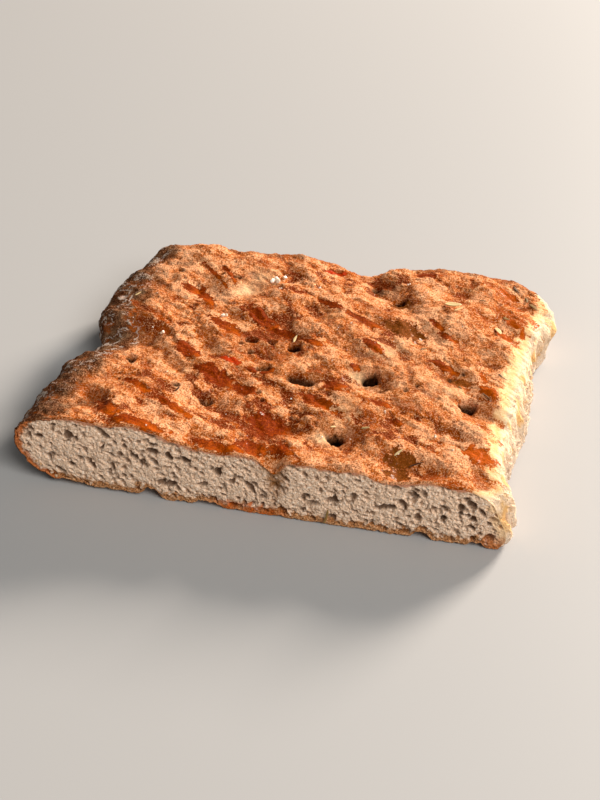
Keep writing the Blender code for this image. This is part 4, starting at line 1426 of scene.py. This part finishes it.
def makeBaseMaterial():
    look = baseFinish
    material, tree, shader = newMaterial("bakedBase")
    maths, _, mask, _, paint = nodeTools(tree)
    grain = addGroup(tree, bakedGrain, **{"Grain Size": 1.3, "Contrast": 1.1})
    broad = addGroup(tree, blotches, **{"Size": 18.0, "Softness": 0.12})["Mask"]
    colour = paint(look["brown"], (
        (broad, 0.6, look["dark"]),
        (mask("hollow"), 0.6, look["light"]),
        (grain["Dark"], 0.6, look["dark"]),
        (grain["Light"], 0.35, look["light"]),
        (mask("edge"), 0.35, look["brown"]),
    ))
    rough = maths("MULTIPLY_ADD", grain["Height"], 0.3, look["roughness"] - 0.15)
    finishShader(tree, shader, colour, rough, grain["Height"], look["bump"])
    return material


smallFinish = {
    "driedHerb": {"low": srgb(232, 202, 144), "high": srgb(132, 100, 44), "brown": srgb(66, 36, 16),
                  "roughness": 0.6, "bump": 0.25 * mm},
    "saltGrain": {"low": srgb(250, 240, 224), "high": srgb(214, 176, 136),
                  "roughness": 0.35, "bump": 0.1 * mm},
    "doughScrap": {"low": srgb(226, 204, 176), "high": srgb(196, 150, 104),
                   "roughness": 0.85, "bump": 0.4 * mm},
}


def makeSmallMaterial(name):
    # two tones, mixed piece by piece and mottled
    look = smallFinish[name]
    material, tree, shader = newMaterial(name)
    maths, ramp, mask, mix, _ = nodeTools(tree)
    grain = addGroup(tree, bakedGrain, **{"Grain Size": 0.5, "Contrast": 1.0})
    tone = mask("tone")
    colour = mix(ramp(maths("MULTIPLY_ADD", grain["Dark"], 0.3, tone), 0.0, 1.1), look["low"], look["high"])
    if "brown" in look:
        colour = mix(ramp(tone, 1.0, 2.0), colour, look["brown"])
    rough = maths("MULTIPLY_ADD", grain["Height"], 0.2, look["roughness"] - 0.1)
    finishShader(tree, shader, colour, rough, grain["Height"], look["bump"])
    shader.inputs["Specular IOR Level"].default_value = 0.3
    return material


crustMaterial = makeCrustMaterial()
for piece, material, slot in ((topCrust, crustMaterial, "crust"), (sideCrust, crustMaterial, "crust"),
                              (cutPiece, makeCrumbMaterial("cutCrumb", crumbFinish["cut"]), "crumb"),
                              (tornPiece, makeCrumbMaterial("tornCrumb", crumbFinish["torn"]), "crumb"),
                              (basePiece, makeBaseMaterial(), "crust"),
                              (herbPiece, makeSmallMaterial("driedHerb"), "herb"),
                              (saltPiece, makeSmallMaterial("saltGrain"), "salt"),
                              (scrapPiece, makeSmallMaterial("doughScrap"), "crumb")):
    piece.data.materials.append(material)
    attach(piece, "root")
    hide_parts("focaccia")
print("materials made")

# Camera, lights and floor
stage = {
    "cameraPlace": (0.1916, -0.3857, 0.3513),   # in the loaf's own measures
    "lens": 58.5,
    "pitch": 36.3,
    "azimuth": 12.9,
    "floorColour": srgb(170, 169, 167),
    "floorRoughness": 0.6,
    "floorHalf": 3.0,
    "floorDrop": 0.1 * mm,
    "lights": (          # name, place, size, watts, colour
        ("key", (1.46, 2.50, 1.13), 0.85, 240.0, (1.0, 0.89, 0.79)),
        ("front", (1.75, -1.45, 2.15), 1.6, 84.0, (1.0, 0.98, 0.96)),
    ),
    "worldColour": (1.0, 0.98, 0.96, 1.0),
    "worldStrength": 0.17,
}


def placeObject(name, data, spot, turn=(0.0, 0.0, 0.0)):
    made = bpy.data.objects.new(name, data)
    made.location = spot
    made.rotation_euler = turn
    bpy.context.scene.collection.objects.link(made)
    return made


def buildStage():
    scene = bpy.context.scene
    lens = bpy.data.cameras.new("camera")
    lens.lens = stage["lens"]
    lens.sensor_width = 36.0
    lens.clip_start = 0.01
    turn = (math.radians(90.0 - stage["pitch"]), 0.0, math.radians(stage["azimuth"]))
    scene.camera = placeObject("camera", lens, Vector(stage["cameraPlace"]) + Vector(place), turn)
    mesh = bpy.data.meshes.new("floor")
    half = stage["floorHalf"]
    corners = [(-half, -half, 0), (half, -half, 0), (half, half, 0), (-half, half, 0)]
    mesh.from_pydata(corners, [], [(0, 1, 2, 3)])
    material, _, shader = newMaterial("floor")
    shader.inputs["Base Color"].default_value = stage["floorColour"]
    shader.inputs["Roughness"].default_value = stage["floorRoughness"]
    mesh.materials.append(material)
    floor = placeObject("floor", mesh, (0.0, 0.0, cadBox[0][2] - stage["floorDrop"]))
    for name, spot, size, watts, colour in stage["lights"]:
        lamp = bpy.data.lights.new(name, "AREA")
        lamp.energy = watts
        lamp.size = size
        lamp.color = colour
        placeObject(name, lamp, spot, (-Vector(spot)).to_track_quat("-Z", "Y").to_euler())
    scene.world = bpy.data.worlds.new("studio")
    scene.world.use_nodes = True
    background = scene.world.node_tree.nodes["Background"]
    background.inputs["Color"].default_value = stage["worldColour"]
    background.inputs["Strength"].default_value = stage["worldStrength"]
    scene.view_settings.view_transform = "Standard"


buildStage()
print("stage set")
